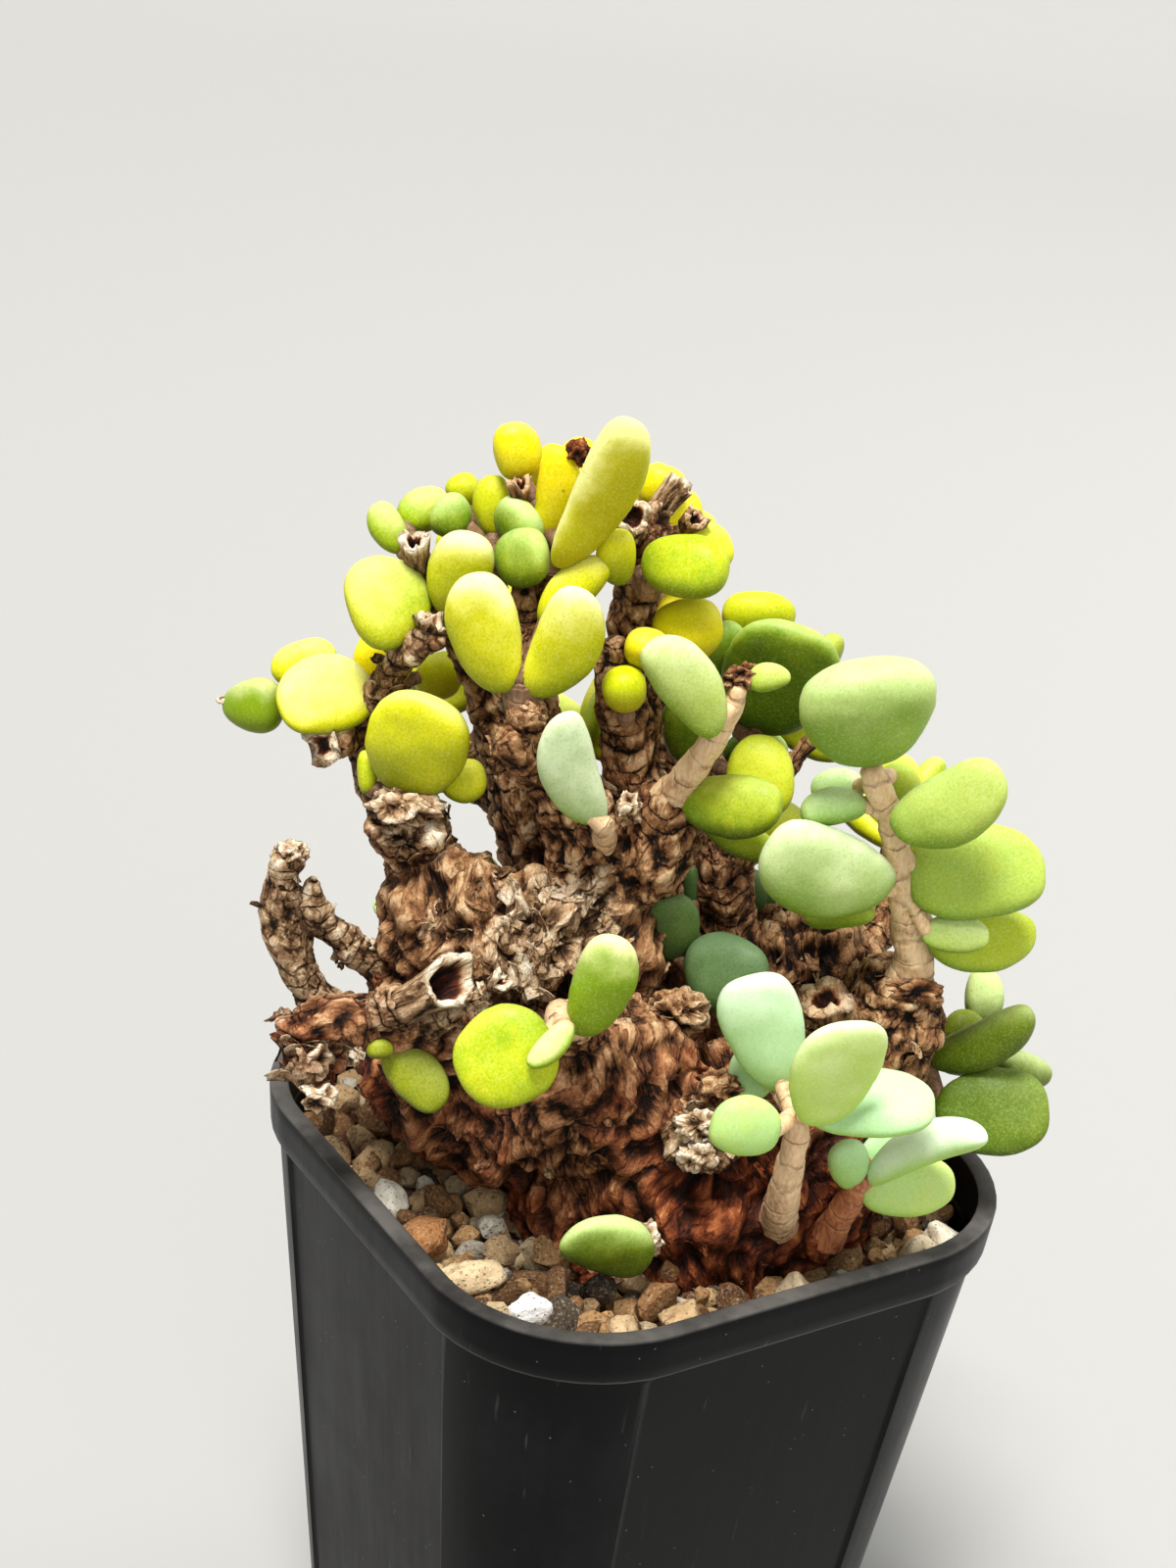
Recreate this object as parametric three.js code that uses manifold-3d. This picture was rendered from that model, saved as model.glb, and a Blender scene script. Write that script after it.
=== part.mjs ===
// A potted Ceraria pygmaea: a small succulent with a gnarled woody caudex, knobbly limbs and plump
// leaves, standing in gravel in a square plastic nursery pot. Millimetres, +Z up.
// The origin is the centre of the pot's underside, and the pot's sides face along X and Y.
import * as THREE from "three";
import { mergeVertices } from "three/addons/utils/BufferGeometryUtils.js";
import Module from "manifold-3d";

const wasm = await Module();
wasm.setup();

// Pot.
const POT_SIDE = 75; // outside of the rim, flat to flat
const POT_HEIGHT = 85;
const POT_FOOT = 55; // outside of the foot, flat to flat
const RIM_CORNER = 20; // corner radius of the rim
const FOOT_CORNER = 13;
const RIM_BAND = 6; // height of the stiffened band at the top
const RIM_STEP = 1.5; // how far the band stands out past the wall
const WALL = 1.4;
const FLOOR = 2;
const PANEL_DEPTH = 0.5; // the middle of each side is set in between the corner columns
const PANEL_SPREAD = 2; // how far a panel runs into the start of the corners
const PANEL_MARGIN = 6; // plain wall below a panel
const DRAIN_RADIUS = 3.5;
const DRAIN_REACH = 15; // from the pot's axis along X and Y
const CORNER_STEPS = 4; // facets in a quarter of a corner's round

// Gravel and stones.
const CLEARANCE = 0.3; // between pieces that touch
const BED_BELOW_RIM = 6.5;
const GRAIN_PITCH = 9.4;
const GRAIN_SIZE = { length: 6.4, breadth: 5.4, height: 4.4 };
const GRAIN_LIFT = 0.4; // a grain's middle above the bed
const GRAIN_SHIFT = 1.5; // how far a grain strays from its row and column
const GRAIN_SEED = 11;
const STONE_CHIP = 0.14; // how uneven a stone is, as a share of its size
const STONE_SINK = 0.7; // how far a loose stone has settled into the bed

// Facets and unevenness of the plant's forms.
const LIMB_SIDES = 5;
const LIMB_STEP = 9;
const STEM_SIDES = 5;
const STEM_STEP = 7;
const LUMP_SIDES = 9;
const LUMP_RINGS = 5;
const LIMB_UNEVEN = 0.06; // share of the radius
const STEM_UNEVEN = 0.03;
const LUMP_UNEVEN = 0.05;
const LEAF_SIDES = 6;
const LEAF_RINGS = 4;

// The plant stands turned in its pot. It is laid out from the middle of the rim: x right, y away, z up.
const PLANT_TURN = THREE.MathUtils.degToRad(-34.4);
const LEAF_FRONT = new THREE.Vector3(0, -0.92, 0.4); // a leaf's flat face looks this way before its turn
const LEAF_BOW = 0.1; // how far a leaf bows back, as a share of its length
const LEAF_BLUNT = 0.72; // 1 gives an ellipse, and less a blunter outline
const LEAF_FOOT = 0.9; // width towards the foot, as a share of that towards the tip
const LEAF_FULLNESS = 1.06;
const LEAF_SINK = 1.2; // how far a ruled leaf's foot goes into its stem past the stem's middle
const SPUR_RADIUS = 1; // of the short spur that carries a leaf whose foot stands off from its stem
const SPUR_FROM = 1.2; // how far off that is
const GOLDEN_ANGLE = THREE.MathUtils.degToRad(137.5);

// Lumps of the caudex: [x, y, z] of the centre, then half the size along x, y and z.
const LUMPS = {
  root: [[4, 0, -15], [17, 14, 14]],
  base: [[6, -2, -3], [24.5, 21.2, 19]],
  base_left: [[-14, -4, 8.5], [14.5, 14.5, 13]],
  base_right: [[16, -5, 5], [14, 15, 14]],
  base_back: [[3, 7, 8], [21, 13, 13]],
  shoulder_left: [[-22, -7, 10.5], [10.5, 10.5, 10.5]],
  shoulder_middle: [[-6, -11, 12], [13, 11.5, 12.5]],
  scar_right: [[7.5, -17.5, 10], [5.5, 5, 7.5]],
  burl_pale: [[-16, -7.5, 28], [11, 8, 7.5]],
  burl_left: [[-24, -5, 27], [7.5, 8, 9]],
  burl_centre: [[-7.5, -2, 28], [10.5, 9.5, 10]],
  burl_right: [[18, 6, 16.5], [12, 10, 12]],
};

// Woody limbs, root to tip. A point is [x, y, z, radius].
const LIMBS = {
  left_trunk: [
    [-22, -2, 18, 9], [-25.5, -2, 26.5, 7.2], [-28.5, 0, 33, 5.2], [-31.5, 1, 37.5, 4.2], [-35.5, 2, 43, 3.2],
    [-36.5, 2, 47, 2.8], [-34.5, 0, 51.5, 2.4], [-32, -2, 57.5, 2.1], [-30.5, -3, 59.5, 1.9],
  ],
  left_tip: [[-31, -3, 58, 1.6], [-29.5, -4, 61.5, 1.4], [-29, -4, 63, 1.9]],
  left_bud: [[-31, -3, 58.5, 1.4], [-27.5, -5, 61, 1.1]],
  left_knob: [[-28, -1, 33.5, 4.6], [-29, -4, 37, 4.4], [-29.5, -7, 40.5, 4.6]],
  left_stub: [[-36.5, 2, 46.5, 2.2], [-38, -1, 46.5, 2], [-40, -4, 46.5, 2.1]],
  arch: [
    [-3.5, 0, 28.5, 8.5], [-10, 2, 33, 6.6], [-15, 4, 37, 5.4], [-18, 6, 43, 4.6], [-20.5, 6, 49.5, 4.2],
    [-24, 5, 56, 3.6], [-27.5, 3, 61.5, 3], [-29.5, 2.5, 64, 2.6],
  ],
  arch_inner: [[-20, 5, 47.5, 3], [-21, 5, 55, 2.4], [-22.5, 4, 62, 2], [-23, 3, 65.5, 1.7]],
  centre_limb: [
    [-4.5, -3, 30, 7.5], [-7.5, -4, 36.5, 6.2], [-11, -5, 42.5, 4.8], [-14.5, -6, 48.5, 3.9],
    [-16.5, -7, 53.5, 3.2], [-18, -8, 57, 2.4],
  ],
  centre_stub: [[-14.5, -6, 47, 2.6], [-17.5, -9, 50, 2.3], [-20, -11, 52.5, 2.1]],
  centre_post: [[-16, -4, 51, 2.6], [-17, -2, 57, 2.2], [-18.5, 0, 62, 1.9], [-19.5, 0, 66.5, 1.9]],
  centre_top: [[-17.5, -1, 58, 2], [-17, 3, 64.5, 2.1], [-16.5, 3, 68.5, 2.1]],
  right_post: [
    [-2, 2, 29, 6], [-3.5, 0, 37.5, 4.8], [-5, -1, 46.5, 4.2], [-6.5, -1, 53.5, 3.8], [-8, -2, 58, 3.1],
    [-9.5, -3, 62.5, 2.5],
  ],
  pale_post: [[-5.5, 1, 49, 3.8], [-6, 2, 55.5, 3.6], [-7, 3, 62.5, 3.7], [-7, 3, 68, 3], [-7, 3, 73.5, 3.1]],
  pale_fork_left: [[-7, 3, 72, 2.4], [-8.5, 1, 75, 2.1], [-8.5, -1, 76.5, 2.2]],
  pale_fork_right: [[-7, 3, 72, 2.8], [-5.5, 4, 76, 2.3], [-3.5, 5, 79, 2.4]],
  pale_spur: [[-7, 4, 71, 1.8], [-3.5, 3, 73.5, 1.3], [-1.5, 1, 76.5, 1.6]],
  middle_limb: [[-2.5, -4, 35.5, 6], [-1.5, -6, 41.5, 4.6], [-0.5, -7, 47, 3.5]],
  middle_side: [[-1.5, -5, 40, 4.2], [2, -5, 42.5, 3.2]],
  right_limb: [[10, 6, 17, 5.2], [8, 5, 27.5, 4.2], [7, 4, 34.5, 4], [8, 5, 39.5, 3.4], [8, 5, 45.5, 2.3]],
  right_limb_twig: [[9, 6, 38.5, 2.4], [14.5, 11, 46, 1.6], [18, 13, 50, 1.3]],
  right_knob: [[24, -6, 9.5, 7.5], [25.5, -6, 15.5, 7], [27.5, -7, 22, 6.4], [28.5, -8, 28, 4.6]],
  right_knob_lip: [[28.5, -8, 22.5, 3.6], [31.5, -11, 25, 3]],
  right_back_limb: [[25, -1, 7, 5.4], [30.5, -3, 13, 3.8], [31.5, -4, 15.5, 2.8]],
  right_inner_stub: [[22, -10, 15, 3.8], [20.5, -11, 22, 2.9], [19.5, -12, 26.5, 2.7]],
  stick_root: [[-23, -5, 20, 7], [-30, -6, 15, 5.5]],
  stick_outer: [
    [-32, -8, 12, 4], [-35.5, -8, 14.5, 3.4], [-39, -9, 19, 2.7], [-41.5, -9, 24.5, 2.4],
    [-43, -9, 29.5, 2.3], [-42.5, -9, 33, 1.6], [-42, -9, 35, 2.1],
  ],
  stick_inner: [
    [-28, -4, 17.5, 4], [-34, -6, 22.5, 2.7], [-37.5, -7, 25.5, 2.2], [-39.5, -8, 28, 2.6],
    [-39.5, -8, 30, 1.7], [-39, -8, 32, 0.8],
  ],
  low_limb: [
    [-21, -13, 17, 5], [-27, -18.5, 20.5, 3.2], [-31, -21, 22, 2.6], [-34.5, -22, 22, 3.2],
    [-37, -22.5, 20, 3.6], [-36, -22.5, 15.5, 3.2],
  ],
  low_limb_stub: [[-30.5, -21, 22.2, 2.3], [-26, -22, 25.5, 2.3], [-21.8, -22, 28.6, 2.6]],
  low_limb_spur: [[-26, -18.5, 20, 2.2], [-20.5, -21, 25, 1.3], [-16.5, -22, 29.5, 1.1]],
  leaf_stub: [[-6, -15, 18, 4], [-8.5, -20, 24.5, 2.4]],
  soil_stub: [[8, -15, -3.5, 3.2], [4.5, -20, -3, 2.2]],
  right_root: [[18, -12, -3, 4], [23.5, -19, -0.5, 2.1]],
  back_left_limb: [[-10, 6, 24, 6.5], [-17, 14, 35, 4.4], [-22, 18, 45, 3.2], [-23.5, 19, 51, 2.2]],
  back_left_fork: [[-17, 14, 34, 3.2], [-24, 19, 36, 2.4], [-27, 21, 39, 1.9]],
  back_middle_limb: [[3, 8, 20, 7], [3, 16, 33, 4.6], [0, 20, 45, 3.6], [-4, 19, 57, 2.6], [-6, 16, 64, 2]],
  back_middle_fork: [[2, 18, 37, 3], [8, 23, 39, 2.3], [11, 24, 43, 1.9]],
  back_right_limb: [[20, 6, 12, 6.5], [25, 13, 20, 4], [27.5, 17, 25, 2.8], [28, 18, 28.5, 2]],
  back_middle_low: [[6, 10, 12, 6], [8, 20, 21, 3.4], [8, 25, 26, 2.2]],
  back_inner_limb: [[-13, 9, 28, 4.4], [-12, 20, 32, 2.8], [-11, 24, 35, 2.1]],
  back_low_limb: [[-14, 9, 7, 7], [-20, 16, 10, 3.8], [-24.5, 20.5, 12.5, 2.1]],
};

// Leafy shoots. A stem runs from root to tip through points of [x, y, z, radius].
// A leaf is [point of the stem that it grows from, x, y, z of its foot, x, y, z of its tip, width, thickness,
// turn in degrees].
const SHOOTS = {
  left_outer: {
    tone: "lime",
    stem: [[-37.2, 1.7, 47.8, 1.5], [-38, 1, 48.5, 1.5], [-39.5, 0, 51, 1.4]],
    leaves: [
      [1, -35.5, 1.5, 52.6, -44.8, -5, 50.7, 9.6, 4, 10], [1, -42.2, 2.2, 50.9, -44.4, 4, 55.6, 8.1, 4, 0],
      [2, -45.2, -0.1, 49.2, -52.1, 2, 47.6, 6.3, 5, 0], [2, -39.1, -0.7, 50.9, -44, 9, 52, 7.2, 4, 30],
    ],
  },
  left_round: {
    tone: "lime",
    stem: [[-31.5, -2, 40, 1.7], [-31.5, -4, 42, 1.6]],
    leaves: [
      [1, -30.7, -5.2, 42.6, -27.7, -8, 55.4, 12, 5, 0], [1, -26.3, -3.8, 43.3, -21.3, -3, 44.9, 5, 3.5, 0],
      [1, -34.4, -4.1, 41.4, -35, -3, 46.2, 2.5, 3, 0],
    ],
  },
  left_back: {
    tone: "gold",
    stem: [[-35, 2, 50, 1.5], [-35.5, 7, 50, 1.4]],
    leaves: [
      [1, -35.4, 7, 49.5, -35.7, 7, 55.9, 5.7, 4.5, 0], [1, -35.5, 6.4, 49.5, -35, 14, 55, 7.2, 4, 0],
      [1, -31.3, 11.5, 50, -26.2, 14, 49.7, 6.5, 4, 40],
    ],
  },
  crown_left: {
    tone: "lime",
    stem: [[-29, 2.6, 63.4, 2.6], [-31, 2.5, 66, 2.4], [-32, 3, 68, 2]],
    leaves: [
      [1, -29.9, 0, 65.1, -38.1, -3, 62.3, 10.8, 5, 0], [1, -27.2, -0.8, 62.2, -25.7, -2, 72.7, 7.1, 4.5, 0],
      [1, -33.3, 3, 67.9, -37, 5, 72.5, 4, 4, 0], [2, -34.1, 5.9, 70.4, -29.2, 9, 73, 5.2, 4, 0],
    ],
  },
  crown_front: {
    tone: "lime",
    stem: [[-17.8, -7.9, 56.5, 2.4], [-18, -9, 59.5, 2.1]],
    leaves: [
      [1, -20.4, -9, 57.4, -24.7, -9, 70.5, 8, 5, -20], [1, -16.2, -9.1, 57.4, -12.5, -10, 70.5, 7.6, 4.5, 20],
      [1, -17, -4.3, 64.1, -10.9, -4, 72.2, 4.8, 4, 0],
    ],
  },
  crown_middle: {
    tone: "green",
    stem: [[-23, 3, 65, 1.8], [-23, 3, 68.5, 1.6]],
    leaves: [
      [1, -22.4, 0.9, 68.6, -17.4, -3, 72.1, 7.1, 4, 0], [1, -22.2, 3.2, 71, -19.4, 1, 75, 6.8, 4, 0],
      [1, -26.2, 3, 71.9, -30.3, 3, 73.5, 5.2, 4, 0], [1, -23.6, 5.1, 70.1, -24.4, 7, 76.8, 4.3, 4, 0],
      [1, -26.5, 10.6, 71.6, -28.7, 11, 75.1, 4.1, 4, 0],
    ],
  },
  crown_top: {
    tone: "gold",
    stem: [[-16.5, 3, 68, 2.2], [-17, 3, 72, 1.9], [-17, 5, 74.5, 1.6]],
    leaves: [
      [1, -15.4, -4.1, 70.6, -9.1, -9, 89, 6.9, 4, 15], [1, -21.1, 5.2, 77.2, -22.8, 6, 83.3, 5.6, 5, 0],
      [1, -17, 3, 71.2, -17, 3, 82, 5.2, 4, 0], [2, -17.8, 6.9, 73.6, -18.1, 11, 80, 4.5, 3.5, 0],
      [2, -17.2, 4.3, 74.1, -14.5, 14, 80, 5.7, 4, 0],
    ],
  },
  crown_right: {
    tone: "lime",
    stem: [[-6, 0, 68, 1.8], [-5.5, -1.5, 70.5, 1.7]],
    leaves: [
      [1, -6.7, -1.2, 71.8, 2.4, -5, 72.7, 7.4, 5.5, 0], [1, -9.1, -1.4, 68.9, -9.9, -4, 75.2, 4.5, 4.5, 0],
      [1, -2.8, 0.9, 71.9, 2.8, 3, 73.4, 6, 4, 0],
    ],
  },
  crown_right_back: {
    tone: "gold",
    stem: [[-6, 5, 73, 1.6], [-6, 8, 74, 1.5]],
    leaves: [
      [1, -5.9, 8.1, 74.8, -5.5, 10, 79.4, 5.9, 4.5, 0], [1, -7.2, 10.8, 74, -10.1, 12, 74.2, 3.2, 4, 0],
      [1, -6.6, 7.4, 74, -1, 13, 74, 5.7, 4, 0],
    ],
  },
  crown_right_low: {
    tone: "gold",
    stem: [[-6.5, 1, 61, 1.8], [-4, 0, 61.5, 1.7]],
    leaves: [
      [0, -5.3, -3.4, 60.6, -5.1, -6, 64.7, 5.1, 4.5, 0], [1, -4.3, 0.2, 62.6, 2.5, -2, 66, 7.4, 6, 0],
      [1, -4.3, -0.7, 61.1, -0.5, 8, 66, 5.7, 4, 0],
    ],
  },
  ball: {
    tone: "gold",
    stem: [[-6.5, -2, 53, 1.4], [-6.5, -6, 55.5, 1.2]],
    leaves: [
      [1, -6.6, -5.9, 56, -7.5, -7, 60.9, 5.2, 5, 0],
    ],
  },
  right_upper: {
    tone: "green",
    stem: [[8, 5, 45, 2.3], [8, 6, 48, 2], [7, 7, 51, 1.8]],
    leaves: [
      [1, 8.7, 6.3, 50.5, 11.1, -2, 66.4, 13.5, 4.5, 0], [2, 6, 7.1, 55.7, 2.6, 5, 63, 6.2, 4, 0],
      [2, 7.5, 10.8, 59.5, 7, 11, 65.5, 9, 4.5, 0], [1, 5.8, 0.7, 46.1, 13.3, 0, 47.8, 10.1, 4.5, -10],
      [0, 1.3, 5.1, 46.4, -0.7, 3, 54, 5.6, 4, 0], [1, 5.6, 5.9, 48.3, 12.7, 9, 46.5, 6, 3, 40],
    ],
  },
  middle_twig: {
    tone: "pale",
    stem: [
      [-1, -7, 46, 2.4], [1, -9, 50.5, 2.2], [3, -11, 55.5, 1.9], [4.5, -12, 60, 1.5], [5, -12, 62.5, 1.3],
    ],
    leaves: [
      [3, 3.4, -14, 57.8, -4.8, -16, 68, 6.7, 4.5, 0], [4, 5.8, -12, 63.3, 10.2, -12, 64.4, 3.1, 2.5, 0],
    ],
  },
  middle_low: {
    tone: "green",
    stem: [[2.5, -5, 43, 1.6], [3.5, -8, 45.5, 1.5]],
    leaves: [
      [1, 0.5, -7.6, 46.4, 11.2, -13, 49.6, 7.2, 5, 0], [1, 2.9, -8.3, 45.9, 12, -4, 39.5, 4.6, 3.5, 20],
    ],
  },
  centre_leaf: {
    tone: "pale",
    stem: [[-7, -5, 38, 2], [-7.5, -12, 44.5, 1.5]],
    leaves: [
      [1, -9, -11.8, 44.4, -13.7, -16, 58.4, 6.6, 3.5, 0],
    ],
  },
  right_twig: {
    tone: "pale",
    stem: [
      [28.5, -8.3, 27.5, 3], [29, -9, 30.5, 2.9], [27.5, -10, 36, 2.5], [26, -11, 41, 2.2],
      [24.5, -11, 45.5, 2], [23, -12, 50, 1.9], [21, -13, 53.5, 1.9], [20, -13, 55.5, 1.7],
    ],
    leaves: [
      [7, 20.1, -12.8, 56, 17.4, -17, 68.3, 14.7, 7, 0], [5, 23.6, -15.1, 49, 33.4, -18, 58.3, 8.2, 4.5, 0],
      [4, 26.3, -11.4, 42.6, 40.9, -12, 45.4, 11.2, 5, 0],
      [3, 24.1, -12.2, 40.3, 9.9, -17, 46.5, 11.2, 5, -25],
      [5, 20.4, -11.9, 50.9, 13.4, -13, 49.2, 4.4, 4.5, 0], [6, 22.8, -8.2, 53.3, 25.9, -4, 47.8, 5.3, 4, 0],
      [3, 30, -11.2, 34.3, 42.4, -6, 34.7, 7.1, 4.5, 0], [3, 28.7, -12.9, 36.5, 36, -13, 37.2, 4.4, 2.5, 0],
      [6, 20.3, -6.9, 50.7, 15.3, -3, 48.1, 4.1, 3.5, 0], [4, 23, -11.5, 38, 16.6, -4, 32.8, 4.6, 3.5, 0],
    ],
  },
  right_back: {
    tone: "lime",
    stem: [[31, -4, 14, 2.2], [33, -4.5, 16, 2], [35, -4, 16.5, 1.7]],
    leaves: [
      [1, 33.6, -4.9, 15.8, 43.4, -10, 26.3, 5.7, 4.5, 0], [1, 34.5, -9.7, 12, 47.2, -10, 14.7, 10.5, 4, -10],
      [2, 39.8, 0.6, 18.7, 39.5, 4, 24.7, 4.8, 4, 0], [2, 35.9, -2.3, 17.1, 39.5, 0, 20.1, 5.4, 3.5, 0],
      [2, 41.8, -4.3, 17, 49, 2, 12.2, 4.4, 3.5, 0], [2, 34.5, -4.6, 16.7, 44, 6, 12.5, 5.2, 3.5, 0],
    ],
  },
  front_rosette: {
    tone: "blue",
    stem: [
      [17.5, -18, 0, 2.8], [17, -24, 7, 2.5], [17, -26, 13.5, 2], [17, -27, 18.5, 1.7], [16.5, -27, 20, 1.5],
    ],
    leaves: [
      [4, 15.2, -23.7, 21, 9.7, -23, 33.9, 9.5, 3.5, -10], [4, 18.8, -31.8, 22, 20, -34, 35.7, 10.8, 3, 25],
      [4, 17.4, -26.9, 22, 31, -28, 23.8, 8.9, 4, -35], [4, 14.8, -30.6, 19.8, 7.3, -32, 20.8, 7.2, 3.5, -20],
      [4, 14.4, -20.3, 20.4, 9.4, -19, 19.8, 6, 3, 0],
    ],
  },
  front_right: {
    tone: "blue",
    stem: [[23.2, -18.7, -0.7, 2.2], [24.5, -20, 4.5, 2.1], [25.5, -21, 8.5, 1.8]],
    leaves: [
      [2, 26.1, -20.8, 9.8, 36.9, -26, 20.6, 4.9, 4.5, -20], [2, 25.7, -21.1, 7.9, 36.4, -19, 9, 7.1, 4, 0],
      [2, 24.8, -20.8, 8, 23.1, -23, 14.9, 4.7, 3, 0], [2, 25.7, -17.5, 9.4, 33, -16, 12.8, 5.3, 3, 0],
    ],
  },
  front_left: {
    tone: "lime",
    stem: [[-8.4, -19.6, 24, 2.5], [-10, -25, 27.5, 2.1], [-10, -27, 27.5, 1.6]],
    leaves: [
      [2, -10.4, -29.2, 27.3, -19.8, -31, 22, 11.2, 4, 0], [1, -7.2, -25.5, 25.8, -4.8, -27, 38.7, 7, 4, 10],
      [2, -8.5, -29.5, 29.2, -12.4, -33, 25.5, 3.1, 2.5, 0],
    ],
  },
  low_left: {
    tone: "green",
    stem: [[-27, -15, 16.5, 1.8], [-28.5, -20, 18.5, 1.6]],
    leaves: [
      [1, -28.2, -20.2, 18.6, -21.6, -23, 13.3, 5.9, 3, 0],
      [1, -27.7, -21.8, 19.2, -30.2, -23.5, 19.9, 2.4, 2.5, 0],
    ],
  },
  soil_leaf: {
    tone: "green",
    stem: [[4.7, -19.4, -3, 2.3], [2.5, -24, -0.5, 1.5]],
    leaves: [
      [1, 3.2, -27, -0.9, -6.3, -30, 3.4, 8.6, 3.5, -30],
    ],
  },
  inner_dark: {
    tone: "deep",
    stem: [[3, 2, 16, 2], [4.5, -5, 25, 1.6]],
    leaves: [
      [1, 2.5, -4.9, 25.5, 0.9, -6, 34.2, 6.5, 3.5, 0], [1, 4, -6.8, 24.6, 12.8, -10, 28.6, 9.3, 5, 0],
      [1, 4, 2.6, 29, 3.4, 3, 33.9, 2, 2, 50],
    ],
  },
  inner_back: {
    tone: "deep",
    stem: [[12.5, 8, 18, 1.9], [12.5, 10, 24, 1.5]],
    leaves: [
      [1, 12.8, 10, 25.1, 10, 10.5, 30.8, 4, 3.5, 0], [1, 12, 9.9, 23.4, 16.5, 11, 29.5, 6.2, 3.5, 0],
    ],
  },
};

// Shoots on the far side. Their leaves follow a rule: each is turned by the golden angle from the last,
// and they stand up more towards the tip. count is how many, and size the length of a middling leaf.
const FAR_SHOOTS = {
  far_left_top: { tone: "lime", stem: [[-23.4, 19, 50, 2.3], [-24.5, 20, 56, 1.8]], count: 5, size: 12 },
  far_left_side: { tone: "green", stem: [[-26.6, 21, 38.6, 2], [-30, 22.5, 42.5, 1.6]], count: 4, size: 12 },
  far_middle_top: { tone: "gold", stem: [[-6, 16, 63.4, 2.1], [-7, 17, 68, 1.7]], count: 5, size: 10 },
  far_middle_side: { tone: "green", stem: [[10.8, 24, 42.5, 2], [12.5, 25, 46, 1.6]], count: 4, size: 12 },
  far_right_top: { tone: "lime", stem: [[28, 18, 28, 2.1], [28.5, 19, 33, 1.7]], count: 5, size: 12 },
  far_middle_low: { tone: "green", stem: [[8, 24.8, 25.6, 2.3], [8.5, 27, 30, 1.8]], count: 4, size: 11 },
  far_inner: { tone: "lime", stem: [[-11, 23.8, 34.6, 2.2], [-10.5, 26, 39, 1.7]], count: 4, size: 10 },
  far_low: { tone: "blue", stem: [[-24, 20, 12, 2.2], [-27, 23, 15.5, 1.8]], count: 4, size: 10 },
};
const FAR_LEAN = { lowest: 85, highest: 15 }; // degrees from the stem
const FAR_LEAF = { width: 0.68, thickness: 0.36 }; // shares of the leaf's length

// Larger stones that lie loose on the gravel: [x, y, length, breadth, height, turn in degrees].
const STONES = {
  pale_wedge: [-16, -27.5, 8, 5, 4.5, 20],
  white_left: [-27.5, -14.5, 5.5, 4.5, 4, -50],
  white_front: [-9.5, -32, 5, 4, 3.6, 10],
  block_front: [7.5, -32.5, 7, 5.5, 5, 10],
  oval_front: [1.5, -36, 4, 7, 4, 5],
  pale_round: [20.5, -24.4, 6, 5.5, 4.6, 30],
  white_right: [38, -9, 5.5, 5, 4.5, 15],
  cream_right: [35, -13, 5.5, 4, 4, 60],
  brown_left: [-22.5, -21, 7, 5.5, 4.5, 35],
  pale_back: [4, 34, 7, 5, 4.5, 70],
};

const FINISHES = {
  pot: { color: 0x1d1d20, roughness: 0.45 },
  gravel: { color: 0x9c7a52, roughness: 0.95 },
  stone: { color: 0xc9b48e, roughness: 0.9 },
  bark: { color: 0x6b3f28, roughness: 0.85 },
  lime: { color: 0xa9c23a, roughness: 0.5 },
  gold: { color: 0xd0c826, roughness: 0.5 },
  green: { color: 0x7fa84c, roughness: 0.5 },
  pale: { color: 0xb0c98a, roughness: 0.5 },
  blue: { color: 0x9dc79a, roughness: 0.5 },
  deep: { color: 0x55754a, roughness: 0.5 },
};

const { lerp } = THREE.MathUtils;

// A closed geometry as a solid, its faces turned outwards if the forming mirrored them.
function solidOf(geometry) {
  const bare = new THREE.BufferGeometry();
  bare.setAttribute("position", geometry.getAttribute("position"));
  bare.setIndex(geometry.index);
  const merged = mergeVertices(bare, 1e-4);
  const vertProperties = merged.attributes.position.array;
  const triVerts = new Uint32Array(merged.index.array);
  const solid = new wasm.Manifold(new wasm.Mesh({ numProp: 3, vertProperties, triVerts }));
  if (solid.volume() > 0) return solid;
  return new wasm.Manifold(new wasm.Mesh({ numProp: 3, vertProperties, triVerts: triVerts.reverse() }));
}

// A solid as a geometry.
function geometryOf(solid) {
  const { vertProperties, triVerts } = solid.getMesh();
  const geometry = new THREE.BufferGeometry();
  geometry.setAttribute("position", new THREE.BufferAttribute(new Float32Array(vertProperties), 3));
  geometry.setIndex(new THREE.BufferAttribute(new Uint32Array(triVerts), 1));
  geometry.computeVertexNormals();
  return geometry;
}

function unionOf(solids) {
  return solids.reduce((whole, next) => whole.add(next));
}

// The largest of a solid's separate bodies, so that a loose scrap is dropped.
function largestBody(solid) {
  return solid.decompose().reduce((best, next) => (next.volume() > best.volume() ? next : best));
}

// Moves each vertex of a geometry to where a function of its old place says.
function reform(geometry, placeOf) {
  const places = geometry.getAttribute("position");
  const old = new THREE.Vector3();
  for (let i = 0; i < places.count; i++) {
    const { x, y, z } = placeOf(old.fromBufferAttribute(places, i));
    places.setXYZ(i, x, y, z);
  }
  return geometry;
}

// A form of the plant's layout as a solid in the part's frame.
function plantSolid(geometry) {
  return solidOf(geometry.rotateZ(PLANT_TURN).translate(0, 0, POT_HEIGHT));
}

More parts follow.
